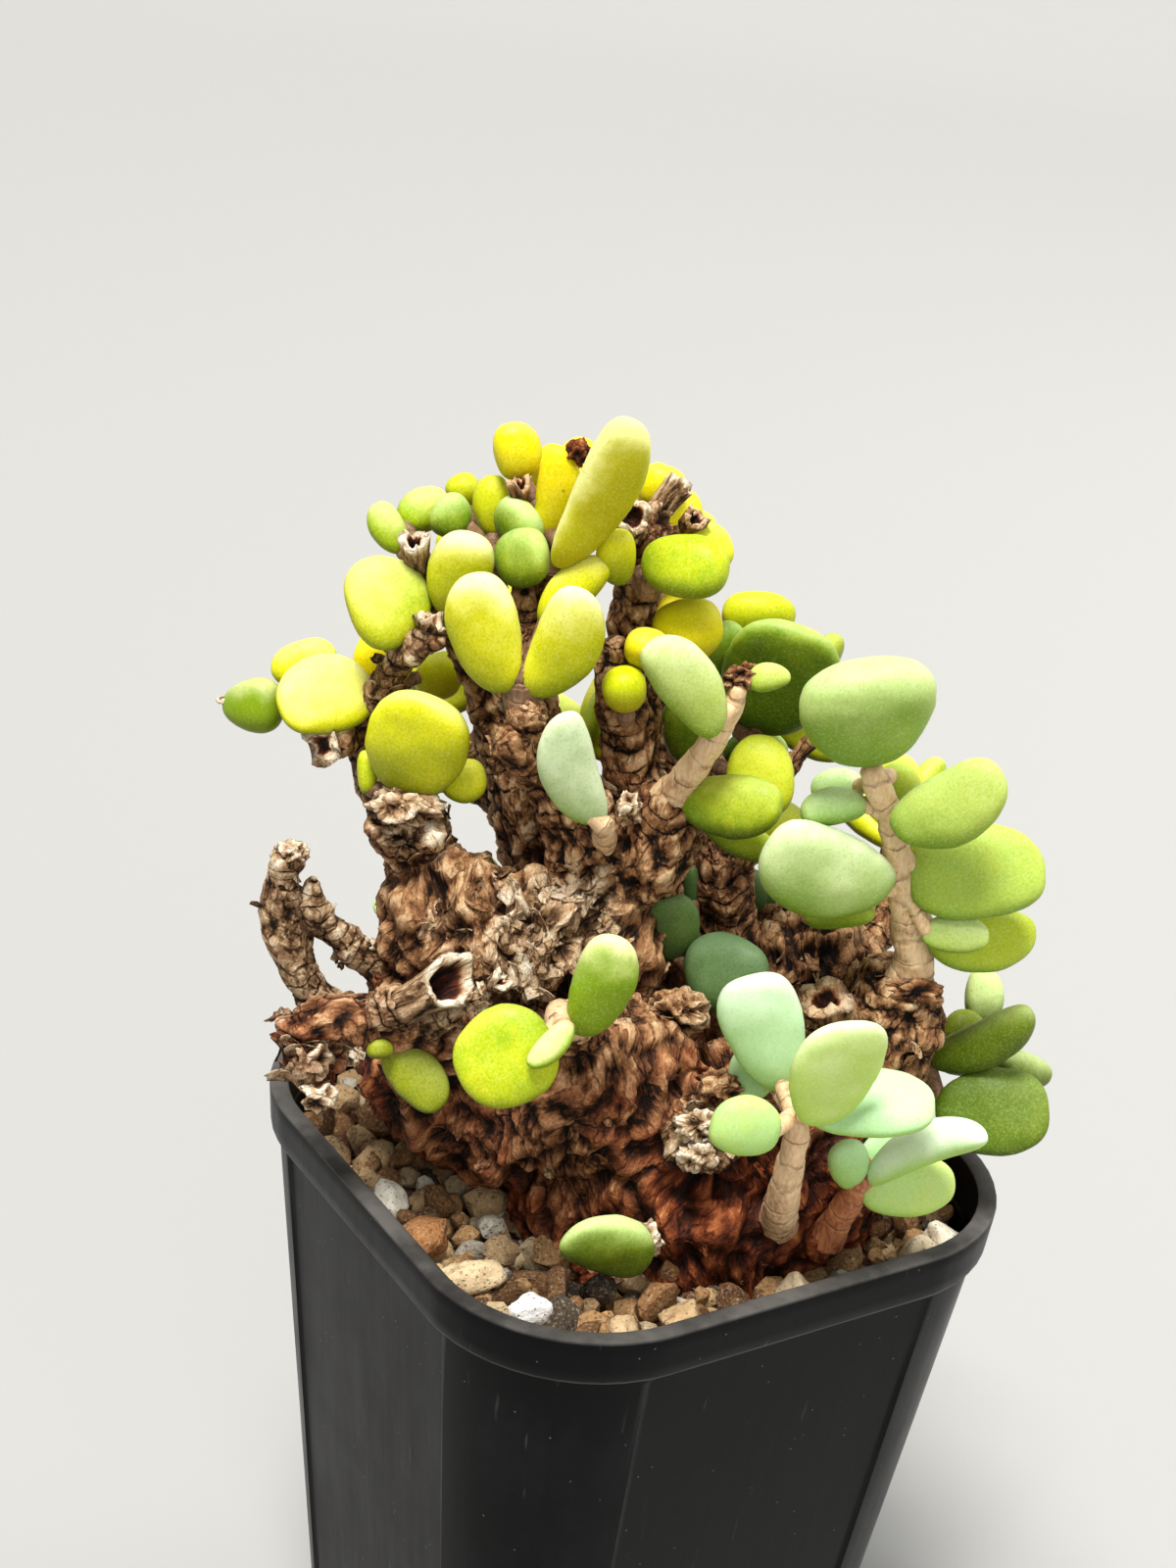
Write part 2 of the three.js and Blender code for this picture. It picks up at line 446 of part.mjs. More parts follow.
// A round limb through points of [x, y, z, radius]: a closed cylinder bent along a curve, a little uneven
// by the share given. grow swells it all round.
function limb(points, sides, stepLength, uneven, grow = 0) {
  const path = new THREE.CatmullRomCurve3(points.map((point) => new THREE.Vector3(...point)));
  const steps = Math.max(points.length - 1, Math.round(path.getLength() / stepLength));
  const { tangents, normals, binormals } = path.computeFrenetFrames(steps, false);
  return plantSolid(reform(new THREE.CylinderGeometry(1, 1, 1, sides, steps), ({ x, y, z }) => {
    const share = y + 0.5;
    const step = Math.round(share * steps);
    const angle = Math.atan2(z, x);
    const knot = path.getUtoTmapping(share) * (points.length - 1);
    const first = Math.min(points.length - 2, Math.floor(knot));
    const radius = lerp(points[first][3], points[first + 1][3], knot - first);
    const ripple = 1 + uneven * Math.sin(3 * angle + 2.1 * step + points[0][0]);
    const reach = Math.hypot(x, z) * (radius * ripple + grow);
    const endGrow = step === 0 ? -grow : step === steps ? grow : 0;
    return path.getPointAt(share)
      .addScaledVector(normals[step], reach * Math.cos(angle))
      .addScaledVector(binormals[step], reach * Math.sin(angle))
      .addScaledVector(tangents[step], endGrow);
  }));
}

// A knobbly lump of wood.
function lump([centre, half], grow = 0) {
  const [cx, cy, cz] = centre;
  return plantSolid(reform(new THREE.SphereGeometry(1, LUMP_SIDES, LUMP_RINGS), ({ x, y, z }) => {
    const knob = 1 + LUMP_UNEVEN * Math.sin(5 * x + 4 * y + cx) * Math.cos(4 * z - 3 * y + cy);
    return new THREE.Vector3(
      cx + x * (half[0] * knob + grow),
      cy + z * (half[1] * knob + grow),
      cz + y * (half[2] * knob + grow),
    );
  }));
}

function caudexSolid(grow = 0) {
  return unionOf([
    ...Object.values(LUMPS).map((form) => lump(form, grow)),
    ...Object.values(LIMBS).map((points) => limb(points, LIMB_SIDES, LIMB_STEP, LIMB_UNEVEN, grow)),
  ]);
}

// One plump leaf: a sphere drawn out from the leaf's foot to its tip, narrower at the foot and bowed back.
function leaf(foot, tip, width, thickness, turn, grow = 0) {
  const along = tip.clone().sub(foot).normalize();
  const length = foot.distanceTo(tip);
  const face = LEAF_FRONT.clone().addScaledVector(along, -LEAF_FRONT.dot(along)).normalize();
  face.applyAxisAngle(along, THREE.MathUtils.degToRad(turn));
  const side = face.clone().cross(along);
  return plantSolid(reform(new THREE.SphereGeometry(1, LEAF_SIDES, LEAF_RINGS), ({ x, y, z }) => {
    const share = (y + 1) / 2;
    const blunt = Math.max(0.1, Math.hypot(x, z)) ** (LEAF_BLUNT - 1);
    const swell = blunt * (LEAF_FOOT + (1 - LEAF_FOOT) * share * (2 - share)) * LEAF_FULLNESS;
    const bow = LEAF_BOW * length * share * (1 - share);
    return foot.clone()
      .addScaledVector(along, length * share + grow * y)
      .addScaledVector(side, x * ((width / 2) * swell + grow))
      .addScaledVector(face, z * ((thickness / 2) * swell + grow) - bow);
  }));
}

// A far shoot's leaves, in the form of the listed ones.
function ruledLeaves({ stem, count, size }) {
  const [root, top] = [stem[0], stem[stem.length - 1]].map((point) => new THREE.Vector3(...point));
  const up = top.clone().sub(root).normalize();
  const across = new THREE.Vector3(1, 0, 0).addScaledVector(up, -up.x).normalize();
  return Array.from({ length: count }, (_, k) => {
    const lean = THREE.MathUtils.degToRad(lerp(FAR_LEAN.lowest, FAR_LEAN.highest, k / (count - 1)));
    const length = size * (0.9 + 0.16 * Math.sin(2.3 * k));
    const along = across.clone().applyAxisAngle(up, k * GOLDEN_ANGLE).multiplyScalar(Math.sin(lean))
      .addScaledVector(up, Math.cos(lean));
    const [foot, tip] = [-LEAF_SINK, length].map((reach) => top.clone().addScaledVector(along, reach));
    const turn = 90 * Math.sin(k * GOLDEN_ANGLE);
    return [stem.length - 1, ...foot, ...tip, length * FAR_LEAF.width, length * FAR_LEAF.thickness, turn];
  });
}

// A shoot's stem with its leaves, each at the stem or on a spur of it.
function shootSolid(shoot, grow = 0) {
  const parts = [limb(shoot.stem, STEM_SIDES, STEM_STEP, STEM_UNEVEN, grow)];
  for (const [knot, ...row] of shoot.leaves ?? ruledLeaves(shoot)) {
    const [from, foot, tip] = [shoot.stem[knot].slice(0, 3), row.slice(0, 3), row.slice(3, 6)]
      .map((place) => new THREE.Vector3(...place));
    if (from.distanceTo(foot) > SPUR_FROM) {
      const inLeaf = foot.clone().lerp(tip, 0.15);
      parts.push(limb([[...from, SPUR_RADIUS], [...inLeaf, SPUR_RADIUS]], 4, STEM_STEP, 0, grow));
    }
    parts.push(leaf(foot, tip, ...row.slice(6), grow));
  }
  return unionOf(parts);
}

// The outline of a square with rounded corners, as points from the middle of the side at +X.
function roundedSquare(side, corner) {
  const flat = side / 2 - corner;
  const shape = new THREE.Shape().moveTo(side / 2, 0);
  shape.absarc(flat, flat, corner, 0, Math.PI / 2);
  shape.absarc(-flat, flat, corner, Math.PI / 2, Math.PI);
  shape.absarc(-flat, -flat, corner, Math.PI, 1.5 * Math.PI);
  shape.absarc(flat, -flat, corner, 1.5 * Math.PI, 2 * Math.PI);
  return shape.getPoints(CORNER_STEPS);
}

// A block whose section is a rounded square that changes evenly from [z, side, corner] to [z, side, corner].
function taperedBlock([lowZ, lowSide, lowCorner], [highZ, highSide, highCorner]) {
  const low = roundedSquare(lowSide, lowCorner);
  const high = roundedSquare(highSide, highCorner);
  return solidOf(reform(new THREE.CylinderGeometry(1, 1, 1, low.length), ({ x, y, z }) => {
    const outline = y < 0 ? low : high;
    const turn = Math.atan2(z, x) / (2 * Math.PI) + 1;
    const point = outline[Math.round(turn * low.length) % low.length];
    const reach = Math.round(Math.hypot(x, z));
    return new THREE.Vector3(point.x * reach, point.y * reach, y < 0 ? lowZ : highZ);
  }));
}

// The wall's outside at a height, less an inset: [z, side, corner].
function wallAt(z, inset = 0) {
  const share = z / (POT_HEIGHT - RIM_BAND);
  const side = lerp(POT_FOOT, POT_SIDE - 2 * RIM_STEP, share);
  const corner = lerp(FOOT_CORNER, RIM_CORNER - RIM_STEP, share);
  return [z, side - 2 * inset, corner - inset];
}

// One side's set-in panel, cut by a slab that leans with the wall.
function sidePanel(quarter) {
  const depth = PANEL_DEPTH + 1;
  return solidOf(reform(new THREE.BoxGeometry(2, 2, 2), ({ x, y, z }) => {
    const [height, side, corner] = wallAt(z > 0 ? POT_HEIGHT - RIM_BAND - 1 : PANEL_MARGIN);
    const half = side / 2 - corner + PANEL_SPREAD;
    return new THREE.Vector3(side / 2 - PANEL_DEPTH + (x > 0 ? depth : 0), y * half, height);
  }).rotateZ((quarter * Math.PI) / 2));
}

function drainHole([x, y]) {
  const hole = new THREE.CylinderGeometry(DRAIN_RADIUS, DRAIN_RADIUS, 4 * FLOOR, 12);
  return solidOf(hole.rotateX(Math.PI / 2).translate(x * DRAIN_REACH, y * DRAIN_REACH, 0));
}

function potSolid() {
  const bandFoot = POT_HEIGHT - RIM_BAND;
  const wall = taperedBlock(wallAt(0), wallAt(bandFoot + 1));
  const band = taperedBlock([bandFoot, POT_SIDE - 1, RIM_CORNER - 0.5], [POT_HEIGHT, POT_SIDE, RIM_CORNER]);
  const inside = taperedBlock(wallAt(FLOOR, WALL), wallAt(POT_HEIGHT + 1, WALL));
  const panels = [0, 1, 2, 3].map(sidePanel);
  const drains = [[1, 1], [1, -1], [-1, 1], [-1, -1]].map(drainHole);
  return unionOf([wall.subtract(unionOf(panels)), band]).subtract(unionOf([inside, ...drains]));
}

// Even draws between 0 and 1 from a seed.
function drawsFrom(seed) {
  let state = seed;
  return () => {
    state = (state * 16807) % 2147483647;
    return state / 2147483647;
  };
}

// An irregular stone, with its centre and its sizes in the plant's layout.
function stone(x, y, z, length, breadth, height, turn, grow = 0) {
  const form = reform(new THREE.IcosahedronGeometry(1, 0), (old) => {
    const chip = 1 + STONE_CHIP * Math.sin(3 * old.x + 2 * old.y + x) * Math.cos(2 * old.z + y);
    return new THREE.Vector3(
      old.x * ((length / 2) * chip + grow),
      old.y * ((breadth / 2) * chip + grow),
      old.z * ((height / 2) * chip + grow),
    );
  });
  return plantSolid(form.rotateZ(THREE.MathUtils.degToRad(turn)).translate(x, y, z));
}

function looseStone([x, y, length, breadth, height, turn], grow = 0) {
  return stone(x, y, height / 2 - STONE_SINK - BED_BELOW_RIM, length, breadth, height, turn, grow);
}

// The filling: a block that fits the pot, with the gravel's grains standing out of its top.
function gravelSolid() {
  const bedTop = POT_HEIGHT - BED_BELOW_RIM;
  const bed = taperedBlock(wallAt(FLOOR + CLEARANCE, WALL + CLEARANCE), wallAt(bedTop, WALL + CLEARANCE));
  const draw = drawsFrom(GRAIN_SEED);
  const reach = wallAt(bedTop, WALL + CLEARANCE)[1] / 2 - GRAIN_SIZE.length / 2;
  const corner = RIM_CORNER - GRAIN_SIZE.length / 2;
  const rows = Math.ceil((2 * reach) / GRAIN_PITCH);
  const grains = [];
  for (let row = 0; row <= rows; row++) {
    for (let column = 0; column <= rows; column++) {
      const [x, y] = [row, column].map(
        (line) => reach * ((2 * line) / rows - 1) + GRAIN_SHIFT * (draw() - 0.5),
      );
      const [length, breadth, height] = Object.values(GRAIN_SIZE).map((size) => size * (0.75 + 0.5 * draw()));
      const turn = 180 * draw();
      const pastFlat = [x, y].map((value) => Math.max(0, Math.abs(value) - reach + corner));
      const place = new THREE.Vector3(x, y, 0).applyAxisAngle(new THREE.Vector3(0, 0, 1), -PLANT_TURN);
      if (Math.hypot(...pastFlat) < corner) {
        grains.push(stone(place.x, place.y, GRAIN_LIFT - BED_BELOW_RIM, length, breadth, height, turn));
      }
    }
  }
  return unionOf([bed, ...grains]);
}

function meshOf(name, solid, finish) {
  const material = new THREE.MeshStandardMaterial({ ...FINISHES[finish], metalness: 0 });
  const mesh = new THREE.Mesh(geometryOf(solid), material);
  mesh.name = name;
  return mesh;
}

// What is already placed, swollen by the clearance. Each later piece is cut back to it.
let taken = null;

// A piece cut clear of the earlier ones. Its swollen form is kept for the later ones.
function fitted(name, solidFor, finish) {
  const solid = taken ? solidFor(0).subtract(taken) : solidFor(0);
  const swollen = solidFor(CLEARANCE);
  taken = taken ? taken.add(swollen) : swollen;
  return meshOf(name, largestBody(solid), finish);
}

const pottedPlant = new THREE.Group();
pottedPlant.add(meshOf("pot", potSolid(), "pot"));
for (const [name, shoot] of Object.entries({ ...SHOOTS, ...FAR_SHOOTS })) {
  pottedPlant.add(fitted(`shoot_${name}`, (grow) => shootSolid(shoot, grow), shoot.tone));
}
pottedPlant.add(fitted("caudex", caudexSolid, "bark"));
for (const [name, form] of Object.entries(STONES)) {
  pottedPlant.add(fitted(`stone_${name}`, (grow) => looseStone(form, grow), "stone"));
}
pottedPlant.add(meshOf("gravel", largestBody(gravelSolid().subtract(taken)), "gravel"));

export default pottedPlant;
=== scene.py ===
"""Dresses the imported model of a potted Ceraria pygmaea.

The caudex gets its gnarled bark, the shoots their plump leaves, and the pot its gravel and its moulded walls.
Forms are worked out in millimetres and kept in metres, each piece with its place in its own mesh.
"""

import logging
import math
import random
from dataclasses import dataclass, field
from enum import Enum
from typing import Any, Callable, NamedTuple

import bmesh
import bpy
import numpy as np
from mathutils import Matrix, Vector, noise


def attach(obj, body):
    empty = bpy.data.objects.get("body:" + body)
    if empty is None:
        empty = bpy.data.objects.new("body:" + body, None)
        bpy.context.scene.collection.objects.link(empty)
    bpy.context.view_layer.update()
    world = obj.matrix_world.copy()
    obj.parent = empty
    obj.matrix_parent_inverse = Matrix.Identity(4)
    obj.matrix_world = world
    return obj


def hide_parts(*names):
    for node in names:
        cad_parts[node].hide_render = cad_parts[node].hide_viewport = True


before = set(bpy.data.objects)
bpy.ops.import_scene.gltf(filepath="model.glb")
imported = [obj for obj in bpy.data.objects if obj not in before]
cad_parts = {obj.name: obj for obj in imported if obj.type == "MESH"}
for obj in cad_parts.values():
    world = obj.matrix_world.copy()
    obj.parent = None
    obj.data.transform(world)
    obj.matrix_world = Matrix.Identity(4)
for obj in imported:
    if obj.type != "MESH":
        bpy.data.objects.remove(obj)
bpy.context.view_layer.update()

LOG = logging.getLogger("potted_plant")

Table = list[list[float]]
Place = tuple[float, float, float]
Verts = list[bmesh.types.BMVert]
Form = bmesh.types.BMesh
Piece = bpy.types.Object
Material = bpy.types.Material
Mesh = bpy.types.Mesh
Array = np.ndarray
Colour = tuple[float, float, float, float]


class Tone(Enum):
    """The leaf colours, each named for its slot in the record."""

    LIME = "leaf_lime"
    GOLD = "leaf_gold"
    GREEN = "leaf_green"
    PALE = "leaf_pale"
    BLUE = "leaf_blue"
    DEEP = "leaf_deep"


class Shoot(NamedTuple):
    """A leafy shoot: its leaf colour, its stem's points and its leaves, as the tables below give them."""

    tone: Tone
    stem: Table
    leaves: Table


MM = 0.001
NOISE_SEED = 7
BODY = "root"

# Pot, in millimetres.
POT_SIDE = 75.0
POT_HEIGHT = 85.0
POT_FOOT = 55.0
RIM_CORNER = 20.0
FOOT_CORNER = 13.0
RIM_BAND = 6.0
RIM_STEP = 1.5
WALL = 1.4
BED_BELOW_RIM = 6.5
STONE_SINK = 0.7

# The plant stands turned in its pot. It is laid out from the middle of the rim: x right, y away, z up.
PLANT_TURN = math.radians(-34.4)
PLANT_PLACE = Matrix.Translation((0, 0, POT_HEIGHT)) @ Matrix.Rotation(PLANT_TURN, 4, "Z")
LEAF_FRONT = Vector((0, -0.92, 0.4))
LEAF_BOW = 0.1
LEAF_BLUNT = 0.82
LEAF_FOOT = 0.9
LEAF_SINK = 1.2
GOLDEN_ANGLE = math.radians(137.5)
FAR_LEAN = (85.0, 15.0)
FRONT = (0.25, -0.9, 0.35)
FAR_LEAF_WIDTH = 0.68
FAR_LEAF_THICKNESS = 0.36
STUB_STEP = 0.5
STUB_OVERLAP = 0.4
TOUCHING = 1e-4
CHANCE_SPREAD = 43758.5
FLAKE_THICKNESS = 0.13
PILLOW = 2.3
DAYLIGHT = (1.0, 0.99, 0.97)

# Lumps of the caudex: [x, y, z] of the centre, then half the size along x, y and z.
LUMPS: dict[str, Table] = {
    "root": [[4, 0, -15], [17, 14, 14]],
    "base": [[6, -2, -3], [24.5, 21.2, 19]],
    "base_left": [[-14, -4, 8.5], [14.5, 14.5, 13]],
    "base_right": [[16, -5, 5], [14, 15, 14]],
    "base_back": [[3, 7, 8], [21, 13, 13]],
    "shoulder_left": [[-22, -7, 10.5], [10.5, 10.5, 10.5]],
    "shoulder_middle": [[-6, -11, 12], [13, 11.5, 12.5]],
    "scar_right": [[7.5, -17.5, 10], [5.5, 5, 7.5]],
    "burl_pale": [[-16, -7.5, 28], [11, 8, 7.5]],
    "burl_left": [[-24, -5, 27], [7.5, 8, 9]],
    "burl_centre": [[-7.5, -2, 28], [10.5, 9.5, 10]],
    "burl_right": [[18, 6, 16.5], [12, 10, 12]],
}

# Woody limbs, root to tip. A point is [x, y, z, radius].
LIMBS: dict[str, Table] = {
    "left_trunk": [
        [-22, -2, 18, 9], [-25.5, -2, 26.5, 7.2], [-28.5, 0, 33, 5.2], [-31.5, 1, 37.5, 4.2],
        [-35.5, 2, 43, 3.2], [-36.5, 2, 47, 2.8], [-34.5, 0, 51.5, 2.4], [-32, -2, 57.5, 2.1],
        [-30.5, -3, 59.5, 1.9],
    ],
    "left_tip": [[-31, -3, 58, 1.6], [-29.5, -4, 61.5, 1.4], [-29, -4, 63, 1.9]],
    "left_bud": [[-31, -3, 58.5, 1.4], [-27.5, -5, 61, 1.1]],
    "left_knob": [[-28, -1, 33.5, 4.6], [-29, -4, 37, 4.4], [-29.5, -7, 40.5, 4.6]],
    "left_stub": [[-36.5, 2, 46.5, 2.2], [-38, -1, 46.5, 2], [-40, -4, 46.5, 2.1]],
    "arch": [
        [-3.5, 0, 28.5, 8.5], [-10, 2, 33, 6.6], [-15, 4, 37, 5.4], [-18, 6, 43, 4.6],
        [-20.5, 6, 49.5, 4.2], [-24, 5, 56, 3.6], [-27.5, 3, 61.5, 3], [-29.5, 2.5, 64, 2.6],
    ],
    "arch_inner": [[-20, 5, 47.5, 3], [-21, 5, 55, 2.4], [-22.5, 4, 62, 2], [-23, 3, 65.5, 1.7]],
    "centre_limb": [
        [-4.5, -3, 30, 7.5], [-7.5, -4, 36.5, 6.2], [-11, -5, 42.5, 4.8], [-14.5, -6, 48.5, 3.9],
        [-16.5, -7, 53.5, 3.2], [-18, -8, 57, 2.4],
    ],
    "centre_stub": [[-14.5, -6, 47, 2.6], [-17.5, -9, 50, 2.3], [-20, -11, 52.5, 2.1]],
    "centre_post": [[-16, -4, 51, 2.6], [-17, -2, 57, 2.2], [-18.5, 0, 62, 1.9], [-19.5, 0, 66.5, 1.9]],
    "centre_top": [[-17.5, -1, 58, 2], [-17, 3, 64.5, 2.1], [-16.5, 3, 68.5, 2.1]],
    "right_post": [
        [-2, 2, 29, 6], [-3.5, 0, 37.5, 4.8], [-5, -1, 46.5, 4.2], [-6.5, -1, 53.5, 3.8], [-8, -2, 58, 3.1],
        [-9.5, -3, 62.5, 2.5],
    ],
    "pale_post": [
        [-5.5, 1, 49, 3.8], [-6, 2, 55.5, 3.6], [-7, 3, 62.5, 3.7], [-7, 3, 68, 3], [-7, 3, 73.5, 3.1],
    ],
    "pale_fork_left": [[-7, 3, 72, 2.4], [-8.5, 1, 75, 2.1], [-8.5, -1, 76.5, 2.2]],
    "pale_fork_right": [[-7, 3, 72, 2.8], [-5.5, 4, 76, 2.3], [-3.5, 5, 79, 2.4]],
    "pale_spur": [[-7, 4, 71, 1.8], [-3.5, 3, 73.5, 1.3], [-1.5, 1, 76.5, 1.6]],
    "middle_limb": [[-2.5, -4, 35.5, 6], [-1.5, -6, 41.5, 4.6], [-0.5, -7, 47, 3.5]],
    "middle_side": [[-1.5, -5, 40, 4.2], [2, -5, 42.5, 3.2]],
    "right_limb": [
        [10, 6, 17, 5.2], [8, 5, 27.5, 4.2], [7, 4, 34.5, 4], [8, 5, 39.5, 3.4], [8, 5, 45.5, 2.3],
    ],
    "right_limb_twig": [[9, 6, 38.5, 2.4], [14.5, 11, 46, 1.6], [18, 13, 50, 1.3]],
    "right_knob": [[24, -6, 9.5, 7.5], [25.5, -6, 15.5, 7], [27.5, -7, 22, 6.4], [28.5, -8, 28, 4.6]],
    "right_knob_lip": [[28.5, -8, 22.5, 3.6], [31.5, -11, 25, 3]],
    "right_back_limb": [[25, -1, 7, 5.4], [30.5, -3, 13, 3.8], [31.5, -4, 15.5, 2.8]],
    "right_inner_stub": [[22, -10, 15, 3.8], [20.5, -11, 22, 2.9], [19.5, -12, 26.5, 2.7]],
    "stick_root": [[-23, -5, 20, 7], [-30, -6, 15, 5.5]],
    "stick_outer": [
        [-32, -8, 12, 4], [-35.5, -8, 14.5, 3.4], [-39, -9, 19, 2.7], [-41.5, -9, 24.5, 2.4],
        [-43, -9, 29.5, 2.3], [-42.5, -9, 33, 1.6], [-42, -9, 35, 2.1],
    ],
    "stick_inner": [
        [-28, -4, 17.5, 4], [-34, -6, 22.5, 2.7], [-37.5, -7, 25.5, 2.2], [-39.5, -8, 28, 2.6],
        [-39.5, -8, 30, 1.7], [-39, -8, 32, 0.8],
    ],
    "low_limb": [
        [-21, -13, 17, 5], [-27, -18.5, 20.5, 3.2], [-31, -21, 22, 2.6], [-34.5, -22, 22, 3.2],
        [-37, -22.5, 20, 3.6], [-36, -22.5, 15.5, 3.2],
    ],
    "low_limb_stub": [[-30.5, -21, 22.2, 2.3], [-26, -22, 25.5, 2.3], [-21.8, -22, 28.6, 2.6]],
    "low_limb_spur": [[-26, -18.5, 20, 2.2], [-20.5, -21, 25, 1.3], [-16.5, -22, 29.5, 1.1]],
    "leaf_stub": [[-6, -15, 18, 4], [-8.5, -20, 24.5, 2.4]],
    "soil_stub": [[8, -15, -3.5, 3.2], [4.5, -20, -3, 2.2]],
    "right_root": [[18, -12, -3, 4], [23.5, -19, -0.5, 2.1]],
    "back_left_limb": [[-10, 6, 24, 6.5], [-17, 14, 35, 4.4], [-22, 18, 45, 3.2], [-23.5, 19, 51, 2.2]],
    "back_left_fork": [[-17, 14, 34, 3.2], [-24, 19, 36, 2.4], [-27, 21, 39, 1.9]],
    "back_middle_limb": [
        [3, 8, 20, 7], [3, 16, 33, 4.6], [0, 20, 45, 3.6], [-4, 19, 57, 2.6], [-6, 16, 64, 2],
    ],
    "back_middle_fork": [[2, 18, 37, 3], [8, 23, 39, 2.3], [11, 24, 43, 1.9]],
    "back_right_limb": [[20, 6, 12, 6.5], [25, 13, 20, 4], [27.5, 17, 25, 2.8], [28, 18, 28.5, 2]],
    "back_middle_low": [[6, 10, 12, 6], [8, 20, 21, 3.4], [8, 25, 26, 2.2]],
    "back_inner_limb": [[-13, 9, 28, 4.4], [-12, 20, 32, 2.8], [-11, 24, 35, 2.1]],
    "back_low_limb": [[-14, 9, 7, 7], [-20, 16, 10, 3.8], [-24.5, 20.5, 12.5, 2.1]],
}

